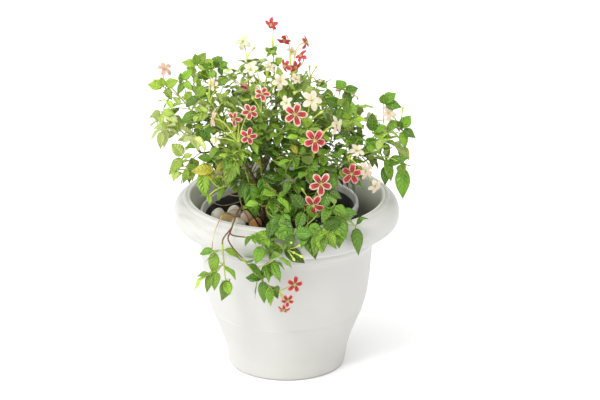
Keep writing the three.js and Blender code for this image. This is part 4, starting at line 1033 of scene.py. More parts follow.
def add_flower(shape, start, leaving, flower, seed):
    """Adds one flower: its tube, its sepals, its petals and its stamens."""
    x, y, z, turn, rise, opening, age, size = flower
    out = facing(turn, rise)
    throat = Vector((x, y, z))
    curve = curve_between(start, leaving, throat - 0.4 * out, out)

    def tube_radius(share):
        ovary = 0.55 * math.exp(-(((share - 0.1) / 0.09) ** 2))
        flare = 0.75 * max(0, share - 0.82) / 0.18
        return 0.8 + ovary + flare

    points, faces, shares = tube(curve, TUBE_STEPS, TUBE_SIDES, tube_radius)
    shape.add(points, faces, finish=1, age=age, under=shares)

    first = (UP - UP.dot(out) * out).normalized()
    second = out.cross(first)

    def radial_at(place, count):
        """The direction out of the throat at one of so many places round it."""
        angle = 2 * math.pi * place / count + (x + z) * 0.1
        return math.cos(angle) * first + math.sin(angle) * second

    opening = math.radians(opening)
    for i in range(PETALS):
        radial = radial_at(i, PETALS)
        tilt = opening + mix(0.9, 0.4, size) * (draw(seed, i, 51) - 0.5)
        reach = size * (THROAT_RADIUS + PETAL_LENGTH) * mix(0.9, 1.06, draw(seed, i, 56))
        spoke = math.sin(tilt) * radial + math.cos(tilt) * out
        sideways = out.cross(radial)
        normal = spoke.cross(sideways).normalized()
        twist = 0.5 * (draw(seed, i, 52) - 0.5)
        curl = mix(0.6, 2.2, draw(seed, i, 53)) + mix(2.5, 0, size)

        def petal_point(along, across, lift):
            crown = 1.1 * math.sin(math.pi * min(1, along * 1.15))
            arch = crown - curl * along**2 + twist * across * 2 * along
            cup = 0.55 * across**2 * math.sin(math.pi * min(1, along + 0.1))
            ripple = 0.25 * abs(across) * math.sin(8 * along + i)
            middle = throat + spoke * mix(0.7, reach, along)
            half = size * petal_half(along)
            return middle + sideways * (half * across) + normal * (arch + cup + ripple + lift)

        points, faces, places, under = blade(
            petal_point, PETAL_ROWS, PETAL_COLUMNS, lambda along: PETAL_THICKNESS
        )
        shape.add(points, faces, places, age=age, under=under)

    for i in range(SEPALS):
        radial = radial_at(i + 0.5, SEPALS)
        sideways = out.cross(radial)
        root = throat - 1.1 * out + 0.9 * radial

        def sepal_point(along, across, lift):
            half = 0.95 * (1 - along) + 0.02
            return root + radial * (2.1 * along) + sideways * (half * across) - out * (0.4 * along**2 - lift)

        points, faces, places, under = blade(
            sepal_point, SEPAL_ROWS, SEPAL_COLUMNS, lambda along: SEPAL_THICKNESS
        )
        shape.add(points, faces, finish=1, age=0.0, under=0.0)

    for i in range(STAMENS + 1):
        radial = radial_at(i + 0.5, STAMENS)
        is_style = i == STAMENS
        spread = 0.2 if is_style else 1.7
        end = throat + out * (4.6 if is_style else 2.6 + draw(seed, i, 54)) + radial * spread
        filament = curve_between(throat - out * 0.6, out, end, (out + 0.3 * radial).normalized())
        points, faces, shares = tube(filament, FILAMENT_STEPS, FILAMENT_SIDES, lambda share: FILAMENT_RADIUS)
        shape.add(points, faces, finish=1, age=0.0, under=0.0)
        anther = [end + ANTHER_RADIUS * point for point in lump_points]
        shape.add(anther, lump_faces, finish=2, age=age, under=0.0)


def add_bud(shape, start, leaving, place, seed):
    """Adds one bud: a slender tube that swells to a pointed green tip."""
    end = Vector(place)
    curve = curve_between(start, leaving, end, (end - start).normalized())

    def bud_radius(share):
        swelling = 1.1 * math.exp(-(((share - 0.86) / 0.085) ** 2))
        closing = math.sqrt(max(0, 1 - max(0, (share - 0.9) / 0.1) ** 2))
        return max(0.06, (0.8 + swelling + 0.3 * math.exp(-(((share - 0.08) / 0.08) ** 2))) * closing)

    points, faces, shares = tube(curve, BUD_STEPS, TUBE_SIDES, bud_radius)
    shape.add(points, faces, finish=1, age=0.3 * draw(seed, 1, 55), under=shares)


def head_radius(share):
    """The radius of the knob that ends a shoot and bears its flowers."""
    return mix(SHOOT_RADIUS, HEAD_RADIUS, math.sin(2.4 * share))


bloom_points = []  # places on the flowers, which leaves keep clear of
# Places that show in the photo, and the room around each towards the camera.
kept_in_sight = [(middle, PEBBLE_SIGHT) for middle in pebble_middles[:PEBBLES_IN_SIGHT]]
for number, (name, cluster) in enumerate(CLUSTERS.items()):
    axis = shoot_curve(SHOOTS[name])
    heading = heading_of(axis, 1)
    start = axis(1) + heading * HAIR
    shape = Shape()
    head = curve_between(start, heading, start + heading * HEAD_LENGTH, heading)
    points, faces, shares = tube(head, HEAD_STEPS, HEAD_SIDES, head_radius)
    shape.add(points, faces, finish=1, age=0.0, under=0.0)
    stalks = len(cluster.flowers) + len(cluster.buds)
    for i, target in enumerate([*cluster.flowers, *cluster.buds]):
        root = start + heading * HEAD_LENGTH * mix(0.45, 0.85, i / (stalks - 1) if stalks > 1 else 0.5)
        end = Vector(target[:3])
        leaving = ((end - root).normalized() + heading).normalized()
        seed = number * 10 + i
        if i < len(cluster.flowers):
            add_flower(shape, root + 0.4 * leaving, leaving, target, seed)
            kept_in_sight.append((end, BLOOM_SIGHT))
        else:
            add_bud(shape, root + 0.4 * leaving, leaving, target, seed)
            kept_in_sight.append((end, BUD_SIGHT))
    bloom_points += shape.points[::9]
    piece = shape.piece("blooms_" + name, petal_finish, stalk_finish, anther_finish)
    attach(piece, "root")
    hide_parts("flower_cluster_" + name)


# Leafy shoots: thin green axes that carry on from the branches, with soft oval leaves in opposite pairs on
# short stalks, yellow-green and pale when young, with a painted glare that makes the young ones paler still,
# deep green and glossy when old, each folded a little along its midrib.
LEAF_STALK = 0.1
LEAF_STALK_HALF_WIDTH = 0.5
LEAF_ROOT_OFFSET = 0.4
LEAF_ROWS = [0, 0.05, 0.1, 0.14, 0.2, 0.28, 0.37, 0.46, 0.55, 0.64, 0.73, 0.81, 0.88, 0.94, 1]
LEAF_COLUMNS = [-1, -0.68, -0.34, 0, 0.34, 0.68, 1]
LEAF_TRIES = [(0, 1), (28, 1), (-28, 1), (55, 0.9), (-55, 0.9), (85, 0.8), (20, 0.7), (-20, 0.62)]
CAD_LEAF_THICKNESS = 0.7
TIP_MATCH = 0.15  # from a leaf's tip to the tip of the same leaf in the solid
CAD_AXIS_STEPS = 3
CAD_TWIG_STEPS = 2
TWIG_RADIUS = 0.75
AXIS_SIDES = 9
AXIS_STEPS = 24
TWIG_SIDES = 7
TWIG_STEPS = 12
LEAF_LIFT = 0.12
LEAF_DROOP_SHARE = 0.7  # of the droop that the same leaf has in the solid
LEAF_SHARE = 0.9  # of a full-grown leaf, on all shoots but these
LEAF_SHARES = {"left_skirt": 0.55, "left_low": 0.7, "left_far": 0.75, "right_far": 0.75, "right_drop": 0.75}
YELLOWING = 0.008  # share of the leaves that are turning yellow
TURNING_PLACES = [
    (-99, -62, 280), (-77, -62, 305), (-130, -64, 297), (-80, -45, 282), (-28, -60, 300), (-12, -50, 318),
    (-40, -60, 285),
]
TURNING_REACH = 12
TURNING_YELLOW = 0.65  # how yellow a turning leaf is
FILL_TRIES = 9
FILL_CLEARANCE = 1.9
FILL_TWIG_CLEARANCE = 1.3
GOLDEN_ANGLE = math.radians(137.5)  # from each thin twig to the next, round its stem
RETRY_ANGLE = math.radians(53)
FILL_SIZES = (0.52, 0.92)  # of the leaves on thin twigs, as shares of the length of those on the shoot
FILL_LOW = 260  # below this height leaves lean out of the plant and droop
FILL_HIGH = 350  # above this height they stand any way
HANGING = ("trailing", "rim", "apron", "low")  # how the names of shoots that hang over the rim begin
# Twigs given one by one: the shoot that bears each, how far along it, the twig's end, the tips of its leaves,
# and how young they are.
Spray = namedtuple("Spray", "on place end tips youth")
SPRAYS = [
    Spray("rim_right", 0.75, (69, -140, 269), [(95, -140, 266), (48, -134, 268), (70, -160, 225)], 0.2),
    Spray(
        "rim_right", 0.5, (47, -152, 250),
        [(67, -166, 226), (73, -148, 259), (47, -172, 223), (36, -174, 219)], 0.25,
    ),
    Spray("low", 0.8, (10, -158, 244), [(36, -164, 247), (-2, -174, 225), (-13, -158, 245)], 0.1),
    Spray(
        "low", 0.9, (28, -146, 250),
        [(39, -168, 212), (49, -166, 222), (20, -168, 228), (52, -156, 240)], 0.12,
    ),
    Spray("apron", 1, (-14, -140, 258), [(-2, -166, 236), (-24, -164, 240), (12, -160, 240)], 0.08),
    Spray("apron", 0.9, (-3, -136, 267), [(-21, -160, 234), (7, -134, 274), (5, -150, 248)], 0.15),
    Spray("low", 0.6, (24, -130, 267), [(14, -150, 245), (48, -112, 255), (6, -120, 287)], 0.05),
    Spray("low", 0.3, (56, -112, 287), [(48, -126, 263), (74, -120, 280), (63, -104, 305)], 0.1),
    Spray("left_mid", 0.1, (-50, -84, 291), [(-40, -92, 241), (-63, -88, 267)], 0.1),
    Spray("rose", 0, (-33, -70, 295), [(-25, -84, 258), (-9, -80, 287)], 0.1),
    Spray("rim_middle", 0.3, (-31, -166, 232), [(-40, -162, 249), (-7, -166, 229), (-40, -172, 208)], 0.12),
    Spray("rim_middle", 0.95, (-4, -160, 226), [(-20, -174, 215), (25, -162, 205)], 0.12),
    Spray(
        "trailing_right", 0.6, (-31, -164, 183),
        [(-14, -164, 211), (-29, -168, 150), (-54, -164, 185)], 0.15,
    ),
    Spray("trailing_left", 0.9, (-74, -160, 182), [(-86, -162, 151)], 0.4),
    Spray("trailing_left", 0.5, (-95, -162, 223), [(-115, -160, 217), (-96, -166, 190)], 0.4),
    Spray("right_drop", 0.8, (134, -30, 296), [(133, -34, 267), (164, -28, 304)], 0.15),
    Spray("right_drop", 1, (156, -32, 295), [(157, -38, 249)], 0.05),
    Spray("right_far", 0.8, (156, 8, 332), [(161, 2, 307), (175, 4, 322), (168, 8, 353)], 0.3),
    Spray("right_far", 0.7, (150, 8, 345), [(137, 0, 331), (157, 4, 332)], 0.12),
    Spray("right_far", 0.6, (131, 10, 369), [(148, 12, 383), (156, 6, 365), (131, 12, 382)], 0.12),
    Spray("right_far", 0.4, (116, -6, 332), [(142, -12, 328), (116, 0, 360), (135, -6, 343)], 0.3),
    Spray("right_drop", 0.4, (105, -18, 320), [(126, -20, 327), (111, -24, 299), (75, -20, 328)], 0.1),
    Spray("right_high", 0.8, (78, -8, 394), [(97, -12, 398), (86, -18, 371), (67, -4, 407)], 0.08),
    Spray("right_high", 0.6, (73, -14, 373), [(97, -20, 372), (51, -18, 386), (69, -24, 355)], 0.2),
    Spray("right_high", 0.5, (89, -12, 354), [(108, -16, 354), (82, -22, 338), (73, -16, 368)], 0.6),
    Spray(
        "left_top", 0.95, (-120, 16, 421),
        [(-123, 16, 438), (-108, 18, 439), (-141, 12, 427), (-109, 10, 416)], 0.6,
    ),
    Spray(
        "left_top", 0.9, (-99, 14, 417),
        [(-107, 16, 431), (-86, 16, 434), (-114, 8, 425), (-99, 6, 404)], 0.35,
    ),
    Spray(
        "left_top", 0.8, (-90, 10, 422),
        [(-78, 10, 427), (-78, 6, 419), (-86, 4, 410), (-99, 10, 429)], 0.2,
    ),
    Spray(
        "left_high", 0.6, (-165, 8, 393),
        [(-187, 6, 397), (-169, 10, 407), (-145, 6, 404), (-154, 0, 377)], 0.6,
    ),
    Spray(
        "left_high", 0.4, (-139, 4, 404),
        [(-143, 6, 414), (-126, 4, 420), (-146, -4, 386), (-126, -4, 392)], 0.35,
    ),
    Spray("left_pale", 0.5, (-118, -20, 389), [(-135, -26, 376), (-107, -24, 405), (-92, -26, 399)], 0.3),
    Spray("left_pale", 0.2, (-118, -14, 365), [(-143, -18, 352), (-103, -22, 354)], 0.1),
    Spray(
        "left_far", 0.7, (-168, -12, 365),
        [(-184, -14, 357), (-149, -14, 362), (-169, -18, 346), (-145, -18, 351)], 0.85,
    ),
    Spray("left_low", 0.9, (-138, -40, 310), [(-158, -48, 287), (-154, -38, 329), (-126, -40, 314)], 0.85),
    Spray("left_low", 0.7, (-131, -44, 295), [(-139, -48, 275), (-119, -48, 300)], 0.5),
    Spray("left_skirt", 0.6, (-112, -62, 300), [(-109, -70, 264), (-95, -66, 286)], 0.5),
    Spray("left_skirt", 0.5, (-84, -58, 291), [(-99, -62, 280), (-70, -66, 281)], 0.4),
    Spray("left_skirt", 0.3, (-94, -60, 298), [(-77, -62, 305), (-128, -64, 298)], 0.4),
    Spray("left_skirt", 0.2, (-99, -60, 314), [(-119, -60, 317), (-85, -62, 322)], 0.1),
    Spray("left_mid", 0.2, (-66, -80, 325), [(-81, -90, 286), (-88, -84, 312)], 0.4),
    Spray("top", 0.9, (-20, 4, 444), [(-29, 5, 449), (-12, 2, 452), (-12, 3, 440), (-27, 4, 437)], 0.45),
    Spray("top", 0.6, (-14, 3, 427), [(-5, 2, 437), (-9, 2, 425), (-22, 3, 430)], 0.4),
    Spray("left_low", 0.2, (-111, -30, 328), [(-135, -34, 322), (-100, -30, 351), (-119, -30, 348)], 0.15),
]
LEAF_DEEP = (0.055, 0.15, 0.006, 1)
LEAF_OLD = (0.135, 0.29, 0.015, 1)
LEAF_MID = (0.31, 0.47, 0.045, 1)
# Young leaves' yellow-green, made paler and greyer with a painted glare.
LEAF_YOUNG_AND_GLARE = (0.62, 0.7, 0.25, 1)
LEAF_TURNING = (0.62, 0.5, 0.06, 1)
LEAF_VEIN = (0.38, 0.52, 0.08, 1)
LEAF_UNDER = (0.38, 0.48, 0.14, 1)
SHOOT_GREEN = (0.3, 0.4, 0.04, 1)
SHOOT_YOUNG = (0.52, 0.6, 0.09, 1)

# Leaf veins: a midrib and raked side veins, with the blade puffed up between them.
veins, veins_in, veins_out = effect("leaf_veins", {"Pairs": 6.5, "Rake": 0.2}, ("Vein", "Puff"))
on_leaf = add(veins, "ShaderNodeUVMap", uv_map="place").outputs["UV"]
vein_place = add(veins, "ShaderNodeSeparateXYZ", {"Vector": on_leaf})
vein_side = reckoned(veins, "ABSOLUTE", reckoned(veins, "SUBTRACT", vein_place.outputs["X"], 0.5))
vein_reach = reckoned(veins, "MULTIPLY", vein_side, 2)
vein_arch = reckoned(veins, "POWER", vein_reach, 1.4)
vein_raked = reckoned(veins, "MULTIPLY", vein_arch, veins_in.outputs["Rake"])
vein_row = reckoned(veins, "SUBTRACT", vein_place.outputs["Y"], vein_raked)
vein_count = reckoned(veins, "MULTIPLY", vein_row, veins_in.outputs["Pairs"])
vein_saw = reckoned(veins, "PINGPONG", vein_count, 0.5)
side_vein = banded(veins, vein_saw, 0.03, 0.1, 0.7, 0)
fading = banded(veins, vein_reach, 0.6, 1, 1, 0.2)
side_faded = reckoned(veins, "MULTIPLY", side_vein, fading)
mid_vein = banded(veins, vein_side, 0.012, 0.04, 1, 0)
any_vein = reckoned(veins, "MAXIMUM", mid_vein, side_faded)
puff_rows = banded(veins, vein_saw, 0, 0.35)
puff_side = banded(veins, vein_reach, 0, 0.25)
puff = reckoned(veins, "MULTIPLY", puff_rows, puff_side)
veins.links.new(any_vein, veins_out.inputs["Vein"])
veins.links.new(puff, veins_out.inputs["Puff"])

leaf_finish, tree, shader = new_material("leaf", Specular_IOR_Level=0.65, Specular_Tint=(1, 1, 0.75, 1))
veined = add(tree, "ShaderNodeGroup", node_tree=veins)
near = add(tree, "ShaderNodeGroup", {"Scale": 90, "Finer": 9}, node_tree=mottle)
youth = marked(tree, "youth")
tint = marked(tree, "tint")
under = marked(tree, "under")
aged = ramped(tree, youth, [(0, LEAF_DEEP), (0.25, LEAF_OLD), (0.55, LEAF_MID), (1, LEAF_YOUNG_AND_GLARE)])
uneven = reckoned(tree, "MULTIPLY_ADD", near.outputs["Patches"], 0.3, tint)
brightness = banded(tree, uneven, 0.15, 1.35, 0.68, 1.55)
shaded = add(tree, "ShaderNodeHueSaturation", {"Color": aged, "Value": brightness}).outputs["Color"]
turned_yellow = blended(tree, marked(tree, "turning"), shaded, LEAF_TURNING)
vein_share = reckoned(tree, "MULTIPLY", veined.outputs["Vein"], 0.17)
top_colour = blended(tree, vein_share, turned_yellow, LEAF_VEIN)
under_colour = blended(tree, 0.6, top_colour, LEAF_UNDER)
tree.links.new(blended(tree, under, top_colour, under_colour), shader.inputs["Base Color"])
gloss = banded(tree, near.outputs["Patches"], 0.3, 0.7, 0.15, 0.3)
under_rough = banded(tree, under, 0.2, 0.8, 0, 0.22)
tree.links.new(reckoned(tree, "ADD", gloss, under_rough), shader.inputs["Roughness"])
relief = reckoned(tree, "MULTIPLY_ADD", near.outputs["Grain"], 0.25, veined.outputs["Puff"])
roughened(tree, shader, relief, 0.75, 0.0013)

axis_finish, tree, shader = new_material("green_shoot", Roughness=0.5, Specular_IOR_Level=0.35)
near = add(tree, "ShaderNodeGroup", {"Scale": 120, "Finer": 6}, node_tree=mottle)
green_axis = blended(tree, marked(tree, "youth"), SHOOT_GREEN, SHOOT_YOUNG)
woody_share = banded(tree, near.outputs["Patches"], 0.5, 0.75, 0, 0.4)
tree.links.new(blended(tree, woody_share, green_axis, BARK_LIGHT), shader.inputs["Base Color"])
roughened(tree, shader, near.outputs["Grain"], 0.25, 0.0004)


def point_on(curve, steps, share):
    """The point on the straight steps that the solid makes of a curve."""
    step = min(steps - 1, math.floor(share * steps))
    return curve(step / steps).lerp(curve((step + 1) / steps), share * steps - step)


def turned_about(direction, axis, angle):
    """A direction turned about an axis by an angle in radians."""
    return Matrix.Rotation(angle, 3, axis) @ direction


def side_of(along, seed, least):
    """A level direction square to a stem, or any level one where the stem is upright."""
    level = along.cross(UP)
    if level.length < least:
        level = Vector((math.cos(seed), math.sin(seed), 0))
    return level.normalized()


def twig_curves(shoot, seed):
    """The side twigs of a shoot, which leave it by turns to either side."""
    axis = shoot_curve(shoot)
    twigs = []
    for i in range(shoot.twigs):
        place = 0.2 + 0.34 * i
        start = point_on(axis, CAD_AXIS_STEPS, place)
        along = heading_of(axis, place)
        out = side_of(along, seed, 0.3) * (1 if i % 2 == 0 else -1)
        out = turned_about(out, along, math.radians(mix(-40, 40, draw(seed, i, 21))))
        reach = shoot.leaf * mix(1.15, 1.6, draw(seed, i, 22))
        end = start + out * reach * 0.85 + along * reach * 0.4
        end.z += reach * mix(0.05, 0.4, draw(seed, i, 23))
        twigs.append(curve_between(start, (out + along).normalized(), end, (out - 0.1 * UP).normalized()))
    return twigs


def pair_slots(curve, steps, place, size, number, seed):
    """The two leaf places of an opposite pair. Steps is 0 where the twig is only in this scene."""
    root = point_on(curve, steps, place) if steps else curve(place)
    angle = (12 if number % 2 == 0 else 62) + mix(-20, 20, draw(seed, number, 11))
    along = heading_of(curve, place)
    moved = curve(place) - root
    return [
        SimpleNamespace(
            root=root, along=along, side=side, size=size, angle=angle, seed=seed * 100 + number, moved=moved
        )
        for side in (1, -1)
    ]


def leaf_slots(shoot, seed):
    """Every leaf place on a shoot that the solids have too."""
    slots = []
    axis = shoot_curve(shoot)
    for i in range(shoot.pairs):
        share = i / (shoot.pairs - 1) if shoot.pairs > 1 else 1
        size = shoot.leaf * mix(1.05, 0.72, share * share)
        slots += pair_slots(axis, CAD_AXIS_STEPS, mix(0.14, 0.96, share), size, i, seed)
    for i, twig in enumerate(twig_curves(shoot, seed)):
        slots += pair_slots(twig, CAD_TWIG_STEPS, 0.93, shoot.leaf * 0.86, 20 + i, seed)
    return slots


def leaf_at(slot, turn, scale, outward=0.0, limp=1.0):
    """A leaf's facts, from its slot, its turn about the stem, its scale, how much it leans out of the
    plant, and how much it droops."""
    seed = slot.seed
    level = side_of(slot.along, seed, 0.25)
    rising = level.cross(slot.along).normalized()
    angle = math.radians(slot.angle + turn)
    out = (level * math.cos(angle) + rising * math.sin(angle)) * slot.side
    lean = math.radians(mix(48, 78, draw(seed, 3, slot.side)))
    direction = slot.along * math.cos(lean) + out * math.sin(lean)
    direction.z += LEAF_LIFT
    leaning = Vector((slot.root.x, slot.root.y - 10, 0)).normalized() - 0.9 * UP
    direction = (direction + outward * leaning).normalized()
    across = UP.cross(direction)
    if across.length < 0.2:
        across = slot.along.cross(direction)
    across.normalize()
    face = direction.cross(across)
    roll = math.radians(mix(-28, 28, draw(seed, 4, slot.side)))
    across = across * math.cos(roll) + face * math.sin(roll)
    length = slot.size * scale * mix(0.85, 1.12, draw(seed, 5, slot.side))
    return SimpleNamespace(
        root=slot.root + out * LEAF_ROOT_OFFSET,
        direction=direction,
        across=across,
        length=length,
        half_width=length * mix(0.24, 0.3, draw(seed, 6, slot.side)),
        droop=limp * mix(0.2, 0.55, draw(seed, 7, slot.side)),
        fold=mix(0.12, 0.34, draw(seed, 8, slot.side)),
        phase=6 * draw(seed, 9, slot.side),
    )


def leaf_shape(share):
    """The half width of a leaf as a share of its widest, along the blade."""
    return max(0, math.sin(math.pi * share**0.75)) ** (0.6 + 0.5 * share)


def leaf_point(leaf, along, sideways, lift=0.0, bulge=0.0):
    """A point of a leaf, from its root to its tip and from edge to edge. Lift is along the normal."""
    tangent = (leaf.direction - UP * (2 * leaf.droop * along)).normalized()
    normal = tangent.cross(leaf.across).normalized()
    share = max(0, (along - LEAF_STALK) / (1 - LEAF_STALK))
    half = LEAF_STALK_HALF_WIDTH * (1 - share) + leaf.half_width * leaf_shape(share)
    edge = abs(sideways)
    wave = 0.16 * edge * edge * math.sin(9 * along + leaf.phase + (1.6 if sideways > 0 else 0))
    rise = half * (leaf.fold * edge + (wave if share > 0 else 0) + bulge * math.sin(math.pi * edge))
    middle = leaf.root + leaf.direction * (leaf.length * along) - UP * (leaf.length * leaf.droop * along**2)
    return middle + leaf.across * (half * sideways) + normal * (rise + lift)


def leaf_thickness(along):
    """Round in the stalk, and thin in the blade."""
    return mix(0.9, 0.34, clamped((along - 0.06) / 0.12))


def add_leaf(shape, leaf, youth, tint, turning):
    """Adds a leaf, with how young, how light and how yellow it is."""
    points, faces, places, under = blade(
        lambda along, sideways, lift: leaf_point(leaf, along, sideways, lift, 0.1),
        LEAF_ROWS,
        LEAF_COLUMNS,
        leaf_thickness,
    )
    shape.add(points, faces, places, youth=youth, tint=tint, under=under, turning=turning)


class Room:
    """Points already taken by pieces, in cells of a few millimetres."""

    CELL = 4

    def __init__(self):
        self.cells = {}

    def cell_of(self, point):
        """The cell that a point lies in."""
        return tuple(math.floor(value / self.CELL) for value in point)

    def take(self, points, owner):
        """Marks points as taken by an owner."""
        for point in points:
            self.cells.setdefault(self.cell_of(point), []).append((point, owner))

    def is_free(self, points, clearance, owner):
        """Whether every point of another owner lies further than the clearance from each of these."""
        for point in points:
            i, j, k = self.cell_of(point)
            for a in (i - 1, i, i + 1):
                for b in (j - 1, j, j + 1):
                    for c in (k - 1, k, k + 1):
                        for other, holder in self.cells.get((a, b, c), ()):
                            if holder != owner and (other - point).length_squared < clearance**2:
                                return False
        return True


def leaf_samples(leaf):
    """A net of points over a leaf's blade."""
    return [
        leaf_point(leaf, along, sideways)
        for along in (0.22, 0.36, 0.5, 0.64, 0.78, 0.9, 1)
        for sideways in (-1, -0.5, 0, 0.5, 1)
    ]


def hides_a_bloom(points, margin):
    """Whether any of a few points stands in front of a flower or pebble as the camera sees it."""
    for middle, room in kept_in_sight:
        for point in points:
            away = point - middle
            depth = away.dot(TOWARDS_CAMERA)
            if depth > 0 and (away - TOWARDS_CAMERA * depth).length < room + margin:
                return True
    return False


LOW_CORNER = cad_box[0] / MM
HIGH_CORNER = cad_box[1] / MM
NURSERY_RIM_X = -10
NURSERY_MOUTH = 91  # the radius in which leaves may hang down into the nursery pot, to OVER_SOIL
OVER_SOIL = 217
OVER_RIMS = [(122, 241), (158, 249)]  # the lowest leaf inside each radius of the planter
LOWEST_HANGING = 130
LOWEST_STANDING = 228
# How high the leaves stand from left to right, as places and heights over the middle of the pots. Places
# further back show higher up.
SKYLINE = [
    (-186, 408), (-165, 420), (-145, 434), (-124, 447), (-111, 446), (-84, 440), (-70, 425), (-56, 437),
    (-33, 444), (-25, 459), (-2, 440), (18, 422), (35, 425), (46, 411), (66, 411), (80, 420), (96, 408),
    (108, 390), (120, 386), (141, 393), (154, 382), (171, 343),
]
SKYLINE_PLACES, SKYLINE_HEIGHTS = zip(*SKYLINE)
SKYLINE_RISE = 0.374


def lowest_leaf(point, hangs):
    """How low a leaf may reach: to the soil, to the pots' rims or, outside them, down the planter."""
    if math.hypot(point.x - NURSERY_RIM_X, point.y) < NURSERY_MOUTH:
        return OVER_SOIL
    reach = math.hypot(point.x, point.y)
    for radius, height in OVER_RIMS:
        if reach < radius:
            return height
    return LOWEST_HANGING if hangs else LOWEST_STANDING


def is_in_bounds(points, hangs):
    """Whether points lie in the plant's own reach and clear of the pots."""
    for point in points:
        if any(point[i] < LOW_CORNER[i] or point[i] > HIGH_CORNER[i] for i in range(3)):
            return False
        if point.z < lowest_leaf(point, hangs):
            return False
        if point.z + SKYLINE_RISE * point.y > np.interp(point.x, SKYLINE_PLACES, SKYLINE_HEIGHTS):
            return False
    return True


def turning_at(point, chance=1.0):
    """How yellow a leaf is, from a point of it."""
    near_place = any((point - Vector(place)).length < TURNING_REACH for place in TURNING_PLACES)
    return TURNING_YELLOW if near_place or chance < YELLOWING else 0.0


room = Room()
room.take(rod_points, "wood")
room.take(bloom_points, "bloom")
shoot_shapes = {}
for seed, (name, shoot) in enumerate(SHOOTS.items(), 1):
    shape = Shape()
    shoot_shapes[name] = shape
    curves = [(shoot_curve(shoot), SHOOT_RADIUS, AXIS_STEPS, AXIS_SIDES)]
    curves += [(twig, TWIG_RADIUS, TWIG_STEPS, TWIG_SIDES) for twig in twig_curves(shoot, seed)]
    for number, (curve, thickness, steps, sides) in enumerate(curves):
        radius = knotted(thickness, 0.8 * thickness, seed + 40 + number, 4, 0.2)
        points, faces, shares = tube(curve, steps, sides, radius)
        youths = [clamped(shoot.youth + 0.5 * share) for share in shares]
        shape.add(points, faces, finish=1, youth=youths, tint=0.5, under=0.0, turning=0.0)
        room.take(places_along(curve, 16), name)

    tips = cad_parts["leafy_shoot_" + name].data.vertices
    tree_of_tips = KDTree(len(tips))
    for i, vertex in enumerate(tips):
        tree_of_tips.insert(vertex.co / MM, i)
    tree_of_tips.balance()
    for slot in leaf_slots(shoot, seed):
        for turn, scale in LEAF_TRIES:
            leaf = leaf_at(slot, turn, scale)
            off = tree_of_tips.find(leaf_point(leaf, 1, 0, CAD_LEAF_THICKNESS / 2))[2]
            if off < TIP_MATCH:
                break
        else:
            continue
        leaf.root += slot.moved
        leaf.length *= LEAF_SHARES.get(name, LEAF_SHARE)
        leaf.half_width *= LEAF_SHARES.get(name, LEAF_SHARE)
        leaf.droop *= LEAF_DROOP_SHARE
        younger = 0.12 if slot.seed % 100 == shoot.pairs - 1 else 0
        youth = shoot.youth + 0.22 * (draw(slot.seed, 1, 61) - 0.5) + younger
        turning = turning_at(slot.root, draw(slot.seed, slot.side, 62))
        add_leaf(shape, leaf, clamped(youth), draw(slot.seed, slot.side, 63), turning)
        room.take(leaf_samples(leaf), name)


def grown_on(twig, owner, size, pairs, number, seed, hangs):
    """The leaves that find room on a thin twig, in opposite pairs from its tip back, each with its slot."""
    grown = []
    for i in range(pairs):
        for slot in pair_slots(twig, 0, 0.97 - 0.25 * i, size * mix(0.85, 1.05, i / pairs), number + i, seed):
            height = clamped((slot.root.z - FILL_LOW) / (FILL_HIGH - FILL_LOW))
            outward = mix(0.7, 0.12, height) + 0.5 * (draw(slot.seed, slot.side, 76) - 0.5)
            for turn, scale in LEAF_TRIES:
                leaf = leaf_at(slot, turn, scale, outward, mix(0.9, 0.45, height))
                samples = leaf_samples(leaf)
                if not is_in_bounds(samples, hangs) or hides_a_bloom(samples[2::5], 3):
                    continue
                if room.is_free(samples, FILL_CLEARANCE, owner):
                    grown.append((leaf, slot))
                    room.take(samples, owner if i else owner + str(slot.side))
                    break
    return grown


def add_twig(name, twig, owner, grown, youth):
    """Adds a thin twig and its leaves to its shoot."""
    shape = shoot_shapes[name]
    points, faces, shares = tube(twig, TWIG_STEPS, TWIG_SIDES, knotted(0.7, 0.45, len(owner), 3, 0.25))
    youths = [clamped(youth + 0.3 * share) for share in shares]
    shape.add(points, faces, finish=1, youth=youths, tint=0.5, under=0.0, turning=0.0)
    room.take(places_along(twig, 16), owner)
    for leaf, slot in grown:
        leaf_youth = clamped(youth + 0.4 * (draw(slot.seed, 1, 61) - 0.5))
        turning = turning_at(slot.root, draw(slot.seed, slot.side, 62))
        add_leaf(shape, leaf, leaf_youth, draw(slot.seed, slot.side, 63), turning)


def leaf_to(root, tip, seed):
    """A leaf's facts, from its root and its tip. It faces up and to the front."""
    droop = mix(0.08, 0.28, draw(seed, 1, 81))
    length = (tip - root).length
    for _ in range(4):
        length = (tip - root + UP * length * droop).length
    direction = (tip - root + UP * length * droop).normalized()
    facing_way = TOWARDS_CAMERA + UP * mix(-0.2, 1.2, draw(seed, 2, 81))
    across = facing_way.cross(direction).normalized()
    return SimpleNamespace(
        root=root,
        direction=direction,
        across=across,
        length=length,
        half_width=length * mix(0.22, 0.3, draw(seed, 3, 81)) * mix(1.3, 1, min(1, length / 32)),
        droop=droop,
        fold=mix(0.08, 0.3, draw(seed, 4, 81)),
        phase=6 * draw(seed, 5, 81),
    )


for number, spray in enumerate(SPRAYS):
    axis = shoot_curve(SHOOTS[spray.on])
    start = axis(spray.place)
    end = Vector(spray.end)
    out = (end - start).normalized()
    leaving = (out + heading_of(axis, spray.place)).normalized()
    twig = curve_between(start, leaving, end, (out - 0.15 * UP).normalized())
    owner = "spray" + str(number)
    add_twig(spray.on, twig, owner, [], spray.youth)
    for i, tip in enumerate(spray.tips):
        leaf = leaf_to(twig(1 - 0.05 * (i // 2)), Vector(tip), 10 * number + i)
        youth = clamped(spray.youth + 0.4 * (draw(number, i, 61) - 0.75))
        add_leaf(shoot_shapes[spray.on], leaf, youth, draw(number, i, 63), turning_at(Vector(tip)))
        room.take(leaf_samples(leaf), owner)

